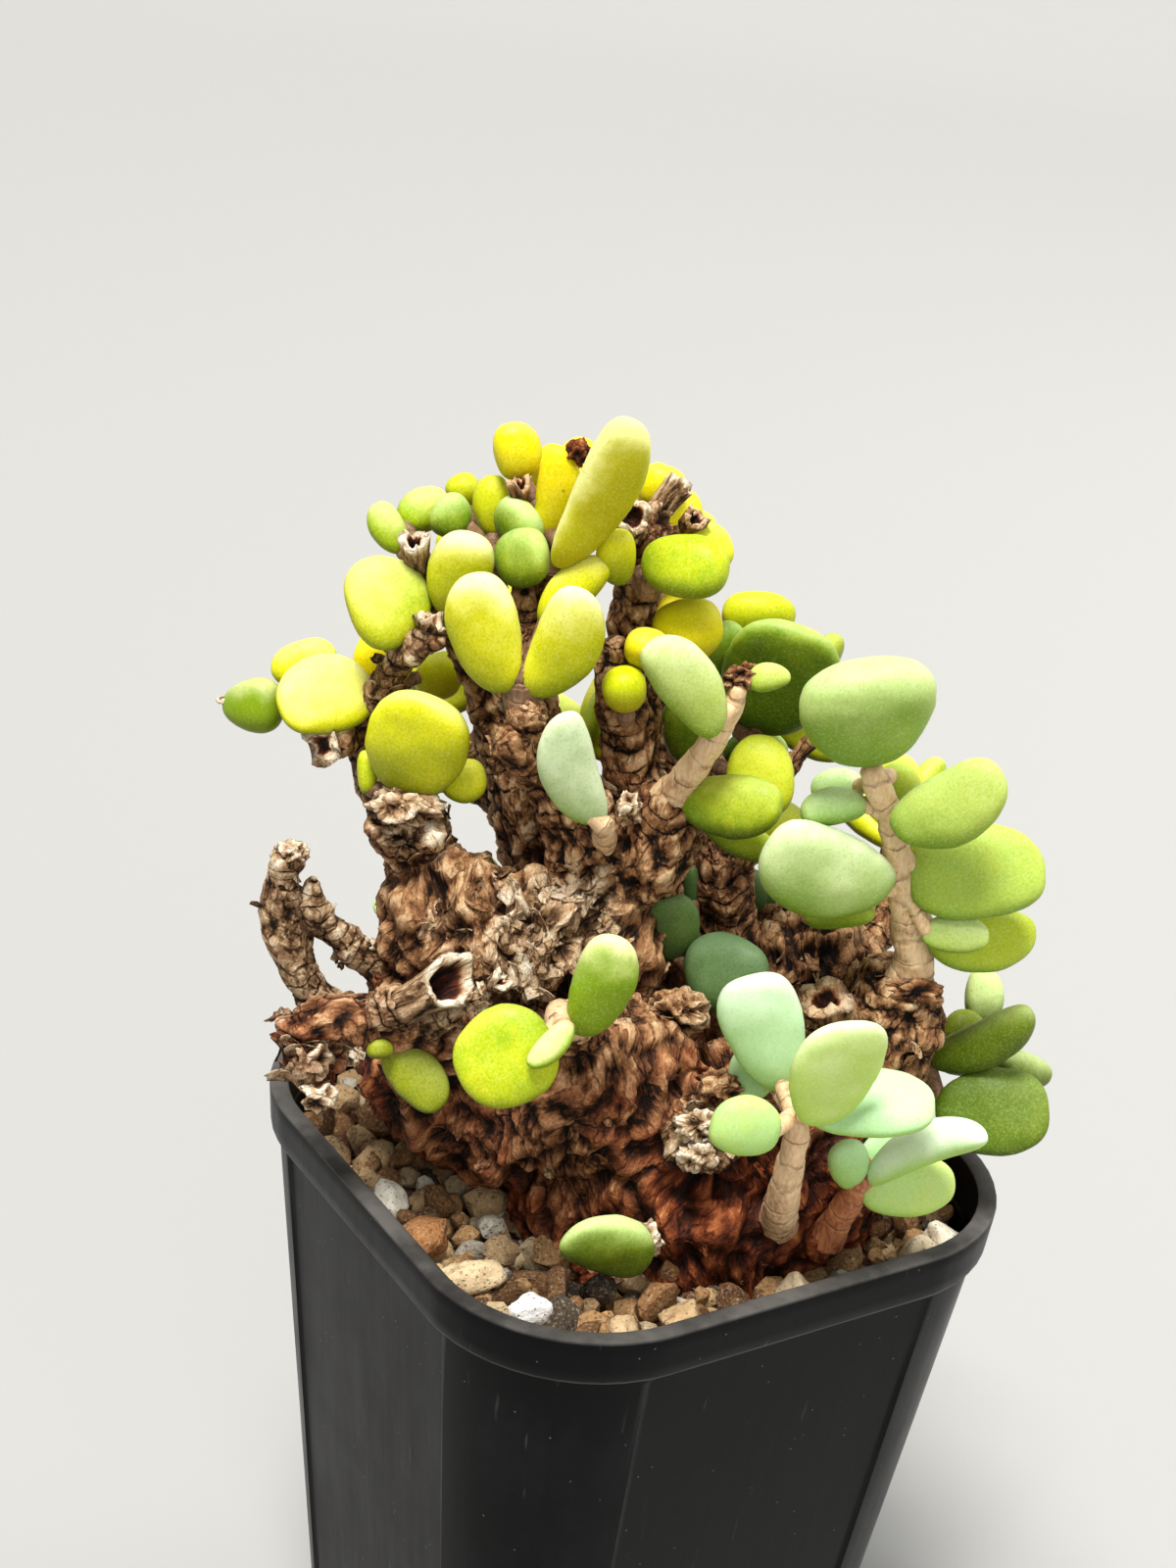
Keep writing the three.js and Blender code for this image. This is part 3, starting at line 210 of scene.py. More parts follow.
# Leafy shoots. A stem runs from root to tip through points of [x, y, z, radius]. A leaf is [the point of the
# stem that it grows from, x, y, z of its foot, x, y, z of its tip, width, thickness, turn in degrees].
SHOOTS: dict[str, Shoot] = {
    "left_outer": Shoot(Tone.LIME, [[-37.2, 1.7, 47.8, 1.5], [-38, 1, 48.5, 1.5], [-39.5, 0, 51, 1.4]], [
        [1, -35.5, 1.5, 52.6, -44.8, -5, 50.7, 9.6, 4, 10],
        [1, -42.2, 2.2, 50.9, -44.4, 4, 55.6, 8.1, 4, 0], [2, -45.2, -0.1, 49.2, -52.1, 2, 47.6, 6.3, 5, 0],
        [2, -39.1, -0.7, 50.9, -44, 9, 52, 7.2, 4, 30],
    ]),
    "left_round": Shoot(Tone.LIME, [[-31.5, -2, 40, 1.7], [-31.5, -4, 42, 1.6]], [
        [1, -30.7, -5.2, 42.6, -27.7, -8, 55.4, 12, 5, 0],
        [1, -26.3, -3.8, 43.3, -21.3, -3, 44.9, 5, 3.5, 0],
        [1, -34.4, -4.1, 41.4, -35, -3, 46.2, 2.5, 3, 0],
    ]),
    "left_back": Shoot(Tone.GOLD, [[-35, 2, 50, 1.5], [-35.5, 7, 50, 1.4]], [
        [1, -35.4, 7, 49.5, -35.7, 7, 55.9, 5.7, 4.5, 0], [1, -35.5, 6.4, 49.5, -35, 14, 55, 7.2, 4, 0],
        [1, -31.3, 11.5, 50, -26.2, 14, 49.7, 6.5, 4, 40],
    ]),
    "crown_left": Shoot(Tone.LIME, [[-29, 2.6, 63.4, 2.6], [-31, 2.5, 66, 2.4], [-32, 3, 68, 2]], [
        [1, -29.9, 0, 65.1, -38.1, -3, 62.3, 10.8, 5, 0],
        [1, -27.2, -0.8, 62.2, -25.7, -2, 72.7, 7.1, 4.5, 0], [1, -33.3, 3, 67.9, -37, 5, 72.5, 4, 4, 0],
        [2, -34.1, 5.9, 70.4, -29.2, 9, 73, 5.2, 4, 0],
    ]),
    "crown_front": Shoot(Tone.LIME, [[-17.8, -7.9, 56.5, 2.4], [-18, -9, 59.5, 2.1]], [
        [1, -20.4, -9, 57.4, -24.7, -9, 70.5, 8, 5, -20],
        [1, -16.2, -9.1, 57.4, -12.5, -10, 70.5, 7.6, 4.5, 20],
        [1, -17, -4.3, 64.1, -10.9, -4, 72.2, 4.8, 4, 0],
    ]),
    "crown_middle": Shoot(Tone.GREEN, [[-23, 3, 65, 1.8], [-23, 3, 68.5, 1.6]], [
        [1, -22.4, 0.9, 68.6, -17.4, -3, 72.1, 7.1, 4, 0], [1, -22.2, 3.2, 71, -19.4, 1, 75, 6.8, 4, 0],
        [1, -26.2, 3, 71.9, -30.3, 3, 73.5, 5.2, 4, 0], [1, -23.6, 5.1, 70.1, -24.4, 7, 76.8, 4.3, 4, 0],
        [1, -26.5, 10.6, 71.6, -28.7, 11, 75.1, 4.1, 4, 0],
    ]),
    "crown_top": Shoot(Tone.GOLD, [[-16.5, 3, 68, 2.2], [-17, 3, 72, 1.9], [-17, 5, 74.5, 1.6]], [
        [1, -15.4, -4.1, 70.6, -9.1, -9, 89, 6.9, 4, 15], [1, -21.1, 5.2, 77.2, -22.8, 6, 83.3, 5.6, 5, 0],
        [1, -17, 3, 71.2, -17, 3, 82, 5.2, 4, 0], [2, -17.8, 6.9, 73.6, -18.1, 11, 80, 4.5, 3.5, 0],
        [2, -17.2, 4.3, 74.1, -14.5, 14, 80, 5.7, 4, 0],
    ]),
    "crown_right": Shoot(Tone.LIME, [[-6, 0, 68, 1.8], [-5.5, -1.5, 70.5, 1.7]], [
        [1, -6.7, -1.2, 71.8, 2.4, -5, 72.7, 7.4, 5.5, 0],
        [1, -9.1, -1.4, 68.9, -9.9, -4, 75.2, 4.5, 4.5, 0], [1, -2.8, 0.9, 71.9, 2.8, 3, 73.4, 6, 4, 0],
    ]),
    "crown_right_back": Shoot(Tone.GOLD, [[-6, 5, 73, 1.6], [-6, 8, 74, 1.5]], [
        [1, -5.9, 8.1, 74.8, -5.5, 10, 79.4, 5.9, 4.5, 0], [1, -7.2, 10.8, 74, -10.1, 12, 74.2, 3.2, 4, 0],
        [1, -6.6, 7.4, 74, -1, 13, 74, 5.7, 4, 0],
    ]),
    "crown_right_low": Shoot(Tone.GOLD, [[-6.5, 1, 61, 1.8], [-4, 0, 61.5, 1.7]], [
        [0, -5.3, -3.4, 60.6, -5.1, -6, 64.7, 5.1, 4.5, 0], [1, -4.3, 0.2, 62.6, 2.5, -2, 66, 7.4, 6, 0],
        [1, -4.3, -0.7, 61.1, -0.5, 8, 66, 5.7, 4, 0],
    ]),
    "ball": Shoot(Tone.GOLD, [[-6.5, -2, 53, 1.4], [-6.5, -6, 55.5, 1.2]], [
        [1, -6.6, -5.9, 56, -7.5, -7, 60.9, 5.2, 5, 0],
    ]),
    "right_upper": Shoot(Tone.GREEN, [[8, 5, 45, 2.3], [8, 6, 48, 2], [7, 7, 51, 1.8]], [
        [1, 8.7, 6.3, 50.5, 11.1, -2, 66.4, 13.5, 4.5, 0], [2, 6, 7.1, 55.7, 2.6, 5, 63, 6.2, 4, 0],
        [2, 7.5, 10.8, 59.5, 7, 11, 65.5, 9, 4.5, 0], [1, 5.8, 0.7, 46.1, 13.3, 0, 47.8, 10.1, 4.5, -10],
        [0, 1.3, 5.1, 46.4, -0.7, 3, 54, 5.6, 4, 0], [1, 5.6, 5.9, 48.3, 12.7, 9, 46.5, 6, 3, 40],
    ]),
    "middle_twig": Shoot(Tone.PALE, [
        [-1, -7, 46, 2.4], [1, -9, 50.5, 2.2], [3, -11, 55.5, 1.9], [4.5, -12, 60, 1.5],
        [5, -12, 62.5, 1.3],
    ], [
        [3, 3.4, -14, 57.8, -4.8, -16, 68, 6.7, 4.5, 0], [4, 5.8, -12, 63.3, 10.2, -12, 64.4, 3.1, 2.5, 0],
    ]),
    "middle_low": Shoot(Tone.GREEN, [[2.5, -5, 43, 1.6], [3.5, -8, 45.5, 1.5]], [
        [1, 0.5, -7.6, 46.4, 11.2, -13, 49.6, 7.2, 5, 0], [1, 2.9, -8.3, 45.9, 12, -4, 39.5, 4.6, 3.5, 20],
    ]),
    "centre_leaf": Shoot(Tone.PALE, [[-7, -5, 38, 2], [-7.5, -12, 44.5, 1.5]], [
        [1, -9, -11.8, 44.4, -13.7, -16, 58.4, 6.6, 3.5, 0],
    ]),
    "right_twig": Shoot(Tone.PALE, [
        [28.5, -8.3, 27.5, 3], [29, -9, 30.5, 2.9], [27.5, -10, 36, 2.5], [26, -11, 41, 2.2],
        [24.5, -11, 45.5, 2], [23, -12, 50, 1.9], [21, -13, 53.5, 1.9], [20, -13, 55.5, 1.7],
    ], [
        [7, 20.1, -12.8, 56, 17.4, -17, 68.3, 14.7, 7, 0],
        [5, 23.6, -15.1, 49, 33.4, -18, 58.3, 8.2, 4.5, 0],
        [4, 26.3, -11.4, 42.6, 40.9, -12, 45.4, 11.2, 5, 0],
        [3, 24.1, -12.2, 40.3, 9.9, -17, 46.5, 11.2, 5, -25],
        [5, 20.4, -11.9, 50.9, 13.4, -13, 49.2, 4.4, 4.5, 0],
        [6, 22.8, -8.2, 53.3, 25.9, -4, 47.8, 5.3, 4, 0], [3, 30, -11.2, 34.3, 42.4, -6, 34.7, 7.1, 4.5, 0],
        [3, 28.7, -12.9, 36.5, 36, -13, 37.2, 4.4, 2.5, 0],
        [6, 20.3, -6.9, 50.7, 15.3, -3, 48.1, 4.1, 3.5, 0], [4, 23, -11.5, 38, 16.6, -4, 32.8, 4.6, 3.5, 0],
    ]),
    "right_back": Shoot(Tone.LIME, [[31, -4, 14, 2.2], [33, -4.5, 16, 2], [35, -4, 16.5, 1.7]], [
        [1, 33.6, -4.9, 15.8, 43.4, -10, 26.3, 5.7, 4.5, 0],
        [1, 34.5, -9.7, 12, 47.2, -10, 14.7, 10.5, 4, -10], [2, 39.8, 0.6, 18.7, 39.5, 4, 24.7, 4.8, 4, 0],
        [2, 35.9, -2.3, 17.1, 39.5, 0, 20.1, 5.4, 3.5, 0], [2, 41.8, -4.3, 17, 49, 2, 12.2, 4.4, 3.5, 0],
        [2, 34.5, -4.6, 16.7, 44, 6, 12.5, 5.2, 3.5, 0],
    ]),
    "front_rosette": Shoot(Tone.BLUE, [
        [17.5, -18, 0, 2.8], [17, -24, 7, 2.5], [17, -26, 13.5, 2], [17, -27, 18.5, 1.7],
        [16.5, -27, 20, 1.5],
    ], [
        [4, 15.2, -23.7, 21, 9.7, -23, 33.9, 9.5, 3.5, -10],
        [4, 18.8, -31.8, 22, 20, -34, 35.7, 10.8, 3, 25], [4, 17.4, -26.9, 22, 31, -28, 23.8, 8.9, 4, -35],
        [4, 14.8, -30.6, 19.8, 7.3, -32, 20.8, 7.2, 3.5, -20],
        [4, 14.4, -20.3, 20.4, 9.4, -19, 19.8, 6, 3, 0],
    ]),
    "front_right": Shoot(Tone.BLUE, [
        [23.2, -18.7, -0.7, 2.2], [24.5, -20, 4.5, 2.1], [25.5, -21, 8.5, 1.8],
    ], [
        [2, 26.1, -20.8, 9.8, 36.9, -26, 20.6, 4.9, 4.5, -20],
        [2, 25.7, -21.1, 7.9, 36.4, -19, 9, 7.1, 4, 0], [2, 24.8, -20.8, 8, 23.1, -23, 14.9, 4.7, 3, 0],
        [2, 25.7, -17.5, 9.4, 33, -16, 12.8, 5.3, 3, 0],
    ]),
    "front_left": Shoot(Tone.LIME, [[-8.4, -19.6, 24, 2.5], [-10, -25, 27.5, 2.1], [-10, -27, 27.5, 1.6]], [
        [2, -10.4, -29.2, 27.3, -19.8, -31, 22, 11.2, 4, 0],
        [1, -7.2, -25.5, 25.8, -4.8, -27, 38.7, 7, 4, 10],
        [2, -8.5, -29.5, 29.2, -12.4, -33, 25.5, 3.1, 2.5, 0],
    ]),
    "low_left": Shoot(Tone.GREEN, [[-27, -15, 16.5, 1.8], [-28.5, -20, 18.5, 1.6]], [
        [1, -28.2, -20.2, 18.6, -21.6, -23, 13.3, 5.9, 3, 0],
        [1, -27.7, -21.8, 19.2, -30.2, -23.5, 19.9, 2.4, 2.5, 0],
    ]),
    "soil_leaf": Shoot(Tone.GREEN, [[4.7, -19.4, -3, 2.3], [2.5, -24, -0.5, 1.5]], [
        [1, 3.2, -27, -0.9, -6.3, -30, 3.4, 8.6, 3.5, -30],
    ]),
    "inner_dark": Shoot(Tone.DEEP, [[3, 2, 16, 2], [4.5, -5, 25, 1.6]], [
        [1, 2.5, -4.9, 25.5, 0.9, -6, 34.2, 6.5, 3.5, 0], [1, 4, -6.8, 24.6, 12.8, -10, 28.6, 9.3, 5, 0],
        [1, 4, 2.6, 29, 3.4, 3, 33.9, 2, 2, 50],
    ]),
    "inner_back": Shoot(Tone.DEEP, [[12.5, 8, 18, 1.9], [12.5, 10, 24, 1.5]], [
        [1, 12.8, 10, 25.1, 10, 10.5, 30.8, 4, 3.5, 0], [1, 12, 9.9, 23.4, 16.5, 11, 29.5, 6.2, 3.5, 0],
    ]),
}

# Shoots on the far side, whose leaves follow a rule: tone, stem, how many leaves, and their middling length.
FAR_SHOOTS: dict[str, tuple[Tone, Table, int, float]] = {
    "far_left_top": (Tone.LIME, [[-23.4, 19, 50, 2.3], [-24.5, 20, 56, 1.8]], 5, 12),
    "far_left_side": (Tone.GREEN, [[-26.6, 21, 38.6, 2], [-30, 22.5, 42.5, 1.6]], 4, 12),
    "far_middle_top": (Tone.GOLD, [[-6, 16, 63.4, 2.1], [-7, 17, 68, 1.7]], 5, 10),
    "far_middle_side": (Tone.GREEN, [[10.8, 24, 42.5, 2], [12.5, 25, 46, 1.6]], 4, 12),
    "far_right_top": (Tone.LIME, [[28, 18, 28, 2.1], [28.5, 19, 33, 1.7]], 5, 12),
    "far_middle_low": (Tone.GREEN, [[8, 24.8, 25.6, 2.3], [8.5, 27, 30, 1.8]], 4, 11),
    "far_inner": (Tone.LIME, [[-11, 23.8, 34.6, 2.2], [-10.5, 26, 39, 1.7]], 4, 10),
    "far_low": (Tone.BLUE, [[-24, 20, 12, 2.2], [-27, 23, 15.5, 1.8]], 4, 10),
}

# Larger stones that lie loose on the gravel: [x, y, length, breadth, height, turn in degrees].
STONES: dict[str, list[float]] = {
    "pale_wedge": [-16, -27.5, 8, 5, 4.5, 20],
    "white_left": [-27.5, -14.5, 5.5, 4.5, 4, -50],
    "white_front": [-9.5, -32, 5, 4, 3.6, 10],
    "block_front": [7.5, -32.5, 7, 5.5, 5, 10],
    "oval_front": [1.5, -36, 4, 7, 4, 5],
    "pale_round": [20.5, -24.4, 6, 5.5, 4.6, 30],
    "white_right": [38, -9, 5.5, 5, 4.5, 15],
    "cream_right": [35, -13, 5.5, 4, 4, 60],
    "brown_left": [-22.5, -21, 7, 5.5, 4.5, 35],
    "pale_back": [4, 34, 7, 5, 4.5, 70],
}


class Mark(NamedTuple):
    """A spot where the bark differs: paler, rustier or darker (partly painted shade), flaking, ringed like a
    knot, or with a pit.
    """

    place: Place
    radius: float
    pale: float = 0.0
    rust: float = 0.0
    # How much darker the spot is: the bark's own dark colour, with painted shade where it lies in shadow.
    dark: float = 0.0
    depth: float = 0.0
    lip: float = 0.0
    flaky: float = 0.0
    rings: float = 0.0


MARKS: list[Mark] = [
    Mark((-14, -14, 30), 10, pale=0.75, flaky=1),
    Mark((-8, -11, 32), 6, pale=0.8, flaky=0.8, rings=0.4),
    Mark((-23, -12, 30), 7, pale=0.3, flaky=0.7),
    Mark((-29.5, -8.5, 42), 5.5, pale=0.85, depth=0.6, lip=0.3, flaky=0.5),
    Mark((7.2, -22.5, 13), 4.8, pale=1.5, lip=0.6, flaky=0.7),
    Mark((7.5, -22.5, 5.5), 5.6, rust=1.1, depth=1.5, lip=0.8, rings=1),
    Mark((14, -20, -1), 14, rust=0.9),
    Mark((-6, -21, 1), 12, rust=0.6),
    Mark((2, -17, 17), 7, rings=0.6),
    Mark((24, -18, 0), 9, rust=0.85),
    Mark((-37, -24, 18), 6, pale=0.35, rust=0.9, depth=0.8, flaky=1, rings=0.6),
    Mark((-20, -16, 3), 11, rust=0.5),
    Mark((-10, -18, 8), 8, rust=0.4, rings=0.4),
    Mark((31, -14.5, 20), 3.8, dark=0.7, depth=2.4, lip=0.7, flaky=0.7),
    Mark((20, -2, 24), 10, dark=0.5, flaky=0.8),
    Mark((-40.5, -4.5, 46.5), 2.4, pale=0.4, depth=0.8),
    Mark((13, -11, 18), 5, pale=0.4, flaky=0.5),
]

# How pale and how rusty whole limbs are, and how slim the living wood is beside its solid, which is stouter
# than the bark needs.
PLAIN_LIMB = (0, 0, 0.96)
LIMB_LOOKS: dict[str, Place] = {
    "pale_post": (0.15, 0, 0.82), "pale_fork_left": (0.5, 0, 0.72), "pale_fork_right": (0.7, 0, 0.58),
    "pale_spur": (0.5, 0, 0.7), "low_limb_stub": (0.5, 0.4, 0.9), "low_limb_spur": (0.8, 0.3, 0.85),
    "stick_outer": (0.75, 0.2, 0.9), "stick_inner": (0.7, 0, 0.7), "right_inner_stub": (0.45, 0, 0.96),
    "left_tip": (0.55, 0, 0.85), "left_stub": (0.35, 0, 0.96), "left_bud": (0.4, 0, 0.8),
    "arch_inner": (0.3, 0, 0.85), "arch": (0.25, 0, 0.88), "centre_top": (0.3, 0, 0.8),
    "centre_post": (0.25, 0, 0.82), "left_knob": (0.35, 0, 0.96), "right_limb_twig": (0.3, 0, 0.8),
    "middle_limb": (0.2, 0.25, 0.88), "low_limb": (0.3, 0.5, 0.96), "leaf_stub": (0.2, 0.4, 0.96),
    "left_trunk": (0.5, 0, 0.7), "centre_limb": (0.2, 0, 0.9), "right_post": (0.3, 0, 0.76),
    "right_root": (0, 0.9, 0.96), "soil_stub": (0, 0.8, 0.96), "right_back_limb": (0, 0.35, 0.96),
    "stick_root": (0, 0.5, 0.96), "middle_side": (0, 0.3, 0.85), "right_limb": (0, 0.3, 0.8),
    "centre_stub": (0, 0, 0.85),
}

# Small broken bits of dry wood and skin: place, half size, how pale and how rusty.
HUSKS: list[tuple[Place, Place, float, float]] = [
    ((5.4, -11.6, 63.6), (1.9, 1.2, 1.3), 0.1, 0.5), ((4.2, -11.8, 62.9), (1.1, 0.9, 0.9), 0, 0.3),
    ((2.6, -23, -0.4), (2.2, 1.5, 2.2), 0.9, 0.1), ((-15, 2.5, 81.8), (1.3, 1, 1.5), 0, 0.8),
    ((29.5, -11.5, 28.6), (3, 1.6, 1.2), 0, 0.5), ((3, -12, 22.6), (3.4, 2.6, 2.6), 0.4, 0),
    ((-29.9, -7.8, 42.2), (3.9, 3.2, 1.7), 0.6, 0.1), ((-17, -9.5, 55.2), (1.8, 1.4, 2), 0.2, 0.3),
    ((-5, -9, 45.5), (1.5, 1.2, 1.8), 0.6, 0.4), ((27.5, -10.5, 19), (2.4, 1.6, 2.2), 0.3, 0.3),
    ((-3, -19.5, 12.5), (2.1, 1.4, 1.7), 0.3, 0.5), ((8.5, -20.5, 18.5), (2.6, 1.7, 1.9), 0.25, 0.4),
    ((-36.4, -24.6, 18.3), (2.2, 1.6, 2.4), 0.6, 0.8), ((-35, -25.8, 14.5), (2, 1.4, 1.6), 0.8, 0.3),
    ((-38, -23, 20.4), (1.5, 1.3, 1.6), 0.2, 1), ((6.8, -23.2, 14.8), (2.5, 1.3, 1.9), 1.3, 0),
    ((7.2, -23.6, 11.4), (2.2, 1.2, 1.8), 1.3, 0.1), ((-42, -9, 35.4), (2, 1.9, 1.3), 0.6, 0.4),
    ((-51.9, 1.6, 48.3), (0.9, 0.7, 0.5), 1.4, 0), ((-29.6, -6.4, 41.6), (2.6, 2.2, 2.2), 0.5, 0.2),
]

# Broken stubs that stand out of the twigs or the bark: [x, y, z, radius] from root to tip.
STUB_WOOD: dict[str, Table] = {
    "grey_stub": [[-31.2, 2, 66.5, 1.3], [-31.5, 0.4, 68.5, 1.3], [-31.8, -0.6, 70.8, 1.5]],
    "dark_stub": [[-20.4, 3, 73.4, 0.9], [-20.9, 2.8, 75.6, 0.9], [-21.2, 2.4, 77.6, 1.1]],
}

# How a leaf differs from the plain form: bent sideways, wider or narrower towards its tip, and squarer.
LEAF_FORMS: dict[str, dict[int, tuple[float, float, float]]] = {
    "crown_front": {0: (-0.05, 0.05, 0.3), 1: (0.1, 0.02, 0.2)},
    "crown_top": {0: (0.05, 0.16, 0.2)},
    "crown_left": {0: (0, 0.1, 0.4), 1: (-0.03, 0.1, 0.2)},
    "left_outer": {0: (0.05, -0.1, 0.4), 2: (0, -0.28, 0.2)},
    "left_round": {0: (0, 0.04, 0.15)},
    "middle_twig": {0: (0.06, 0.05, 0.3), 1: (0.05, -0.25, 0)},
    "middle_low": {0: (-0.04, 0, 0.4)},
    "centre_leaf": {0: (-0.09, -0.05, 0.4)},
    "right_upper": {0: (0, 0.05, 0.5)},
    "right_twig": {
        0: (0, 0.16, 0.8), 1: (0.06, 0, 0.2), 2: (0.04, -0.12, 0.7), 3: (-0.09, 0.04, 0.7),
        4: (0.05, 0, 0.4), 6: (-0.04, 0, 0.2),
    },
    "front_rosette": {0: (-0.02, 0.2, 1.1), 1: (0, 0.14, 0.9), 2: (0.03, -0.1, 0.9), 3: (0.05, -0.02, 0.7)},
    "front_right": {0: (0.1, 0.05, 0.2), 1: (0, -0.05, 0.5)},
    "right_back": {0: (0.08, 0, 0.2), 1: (0, 0.05, 0.6)},
    "front_left": {0: (0, -0.1, 0.4), 1: (0.05, 0.08, 0.2), 2: (0.04, -0.15, 0.2)},
    "low_left": {0: (0.03, -0.05, 0.3)},
    "soil_leaf": {0: (0.08, -0.05, 0.5)},
    "inner_dark": {0: (0, 0.05, 0.3), 1: (0, -0.3, 0)},
}

# How yellow each leaf is, and how much pale bloom and painted highlight it has, from 0 to 1. A yellow below 0
# darkens it towards the painted shade colour.
LOOKS: dict[str, list[tuple[float, float]]] = {
    "left_outer": [(0.8, 0.6), (0.9, 0.4), (-0.5, 0.6), (0.8, 0.2)],
    "left_round": [(0.75, 0.45), (0.7, 0.15), (0.5, 0.1)],
    "left_back": [(0.95, 0.1), (0.9, 0.1), (0.1, 0.25)],
    "crown_left": [(0.5, 0.5), (0.75, 1.2), (0.2, 0.5), (0.35, 0.5)],
    "crown_front": [(1, 1.25), (0.85, 1.2), (0.8, 0.35)],
    "crown_middle": [(0.35, 0.6), (0.4, 1), (0.45, 0.8), (1, 0.1), (1, 0.1)],
    "crown_top": [(0.35, 2), (0.7, 0.3), (0.9, 0.1), (0.95, 0.1), (0.8, 0.1)],
    "crown_right": [(0.4, 0), (1, 0.1), (0.8, 0.2)],
    "crown_right_back": [(0.75, 0.2), (0.8, 0.3), (0.7, 0.1)],
    "crown_right_low": [(0.75, 0.15), (0.6, 0.1), (0.8, 0.1)],
    "ball": [(0.1, 0)],
    "right_upper": [(0.3, 0.5), (0.3, 0.4), (0.9, 0.1), (0.75, 0.15), (0.35, 0.15), (0.1, 0.7)],
    "middle_twig": [(1, 0.65), (1, 0.3)],
    "middle_low": [(0.5, 0.25), (0.5, 0.1)],
    "centre_leaf": [(0.35, 1.5)],
    "right_twig": [
        (0.5, 0.5), (0.65, 0.25), (0.6, 0.1), (0.6, 0.9), (0.3, 0.5), (1, 0.1), (1, 0), (0.7, 0.45),
        (0.15, 0.6), (0.8, 0.1),
    ],
    "right_back": [(0.3, 0.4), (0.1, 0.1), (0.1, 1.2), (0.5, 0.1), (0.3, 0.9), (0.3, 0.3)],
    "front_rosette": [(0.1, 1), (1, 0.8), (0.2, 0.3), (0.4, 0), (0.15, 0.3)],
    "front_right": [(0.5, 1.3), (0.65, 0.2), (0.1, 0.35), (0.1, 0.35)],
    "front_left": [(0.45, 0.15), (0, 1.15), (0, 0.8)],
    "low_left": [(0.7, 0.2), (0.8, 0.1)],
    "soil_leaf": [(0.35, 1.15)],
    "inner_dark": [(0.4, 0.3), (0.2, 0.6), (0.2, 0.1)],
    "inner_back": [(0.2, 0.8), (0.3, 0.2)],
}


def srgb(red: float, green: float, blue: float) -> Colour:
    """A colour given as 0 to 255 on a screen, as the shader's own light values."""
    shares = [part / 255 for part in (red, green, blue)]
    lights = [s / 12.92 if s <= 0.04045 else ((s + 0.055) / 1.055) ** 2.4 for s in shares]
    return (lights[0], lights[1], lights[2], 1.0)


def smooth(values: Array, low: float, high: float) -> Array:
    """An S-shaped step from 0 at low to 1 at high."""
    share = np.clip((values - low) / (high - low), 0.0, 1.0)
    return share * share * (3.0 - 2.0 * share)


def operators(operation: str) -> tuple[Callable, Callable]:
    """Makes an operator and its reflected form, each of which adds one Math node.

    Args:
        operation: The Math node's operation.

    Returns:
        The method for self and other, and the one for other and self.
    """

    def forward(self: "Signal", other: Any) -> "Signal":
        """The operation on self and other."""
        return self.graph.node("Math", {"operation": operation}, {0: self, 1: other})

    def reflected(self: "Signal", other: Any) -> "Signal":
        """The operation on other and self."""
        return self.graph.node("Math", {"operation": operation}, {0: other, 1: self})

    return forward, reflected


class Signal:
    """An output socket, so that shader maths reads as a Python expression."""

    def __init__(self, graph: "Graph", socket: bpy.types.NodeSocket) -> None:
        """Wraps one socket of a graph."""
        self.graph = graph
        self.socket = socket

    __add__, __radd__ = operators("ADD")
    __sub__, __rsub__ = operators("SUBTRACT")
    __mul__, __rmul__ = operators("MULTIPLY")
    __gt__ = operators("GREATER_THAN")[0]

    def __abs__(self) -> "Signal":
        """The size of self, whatever its sign."""
        return self.graph.node("Math", {"operation": "ABSOLUTE"}, {0: self})


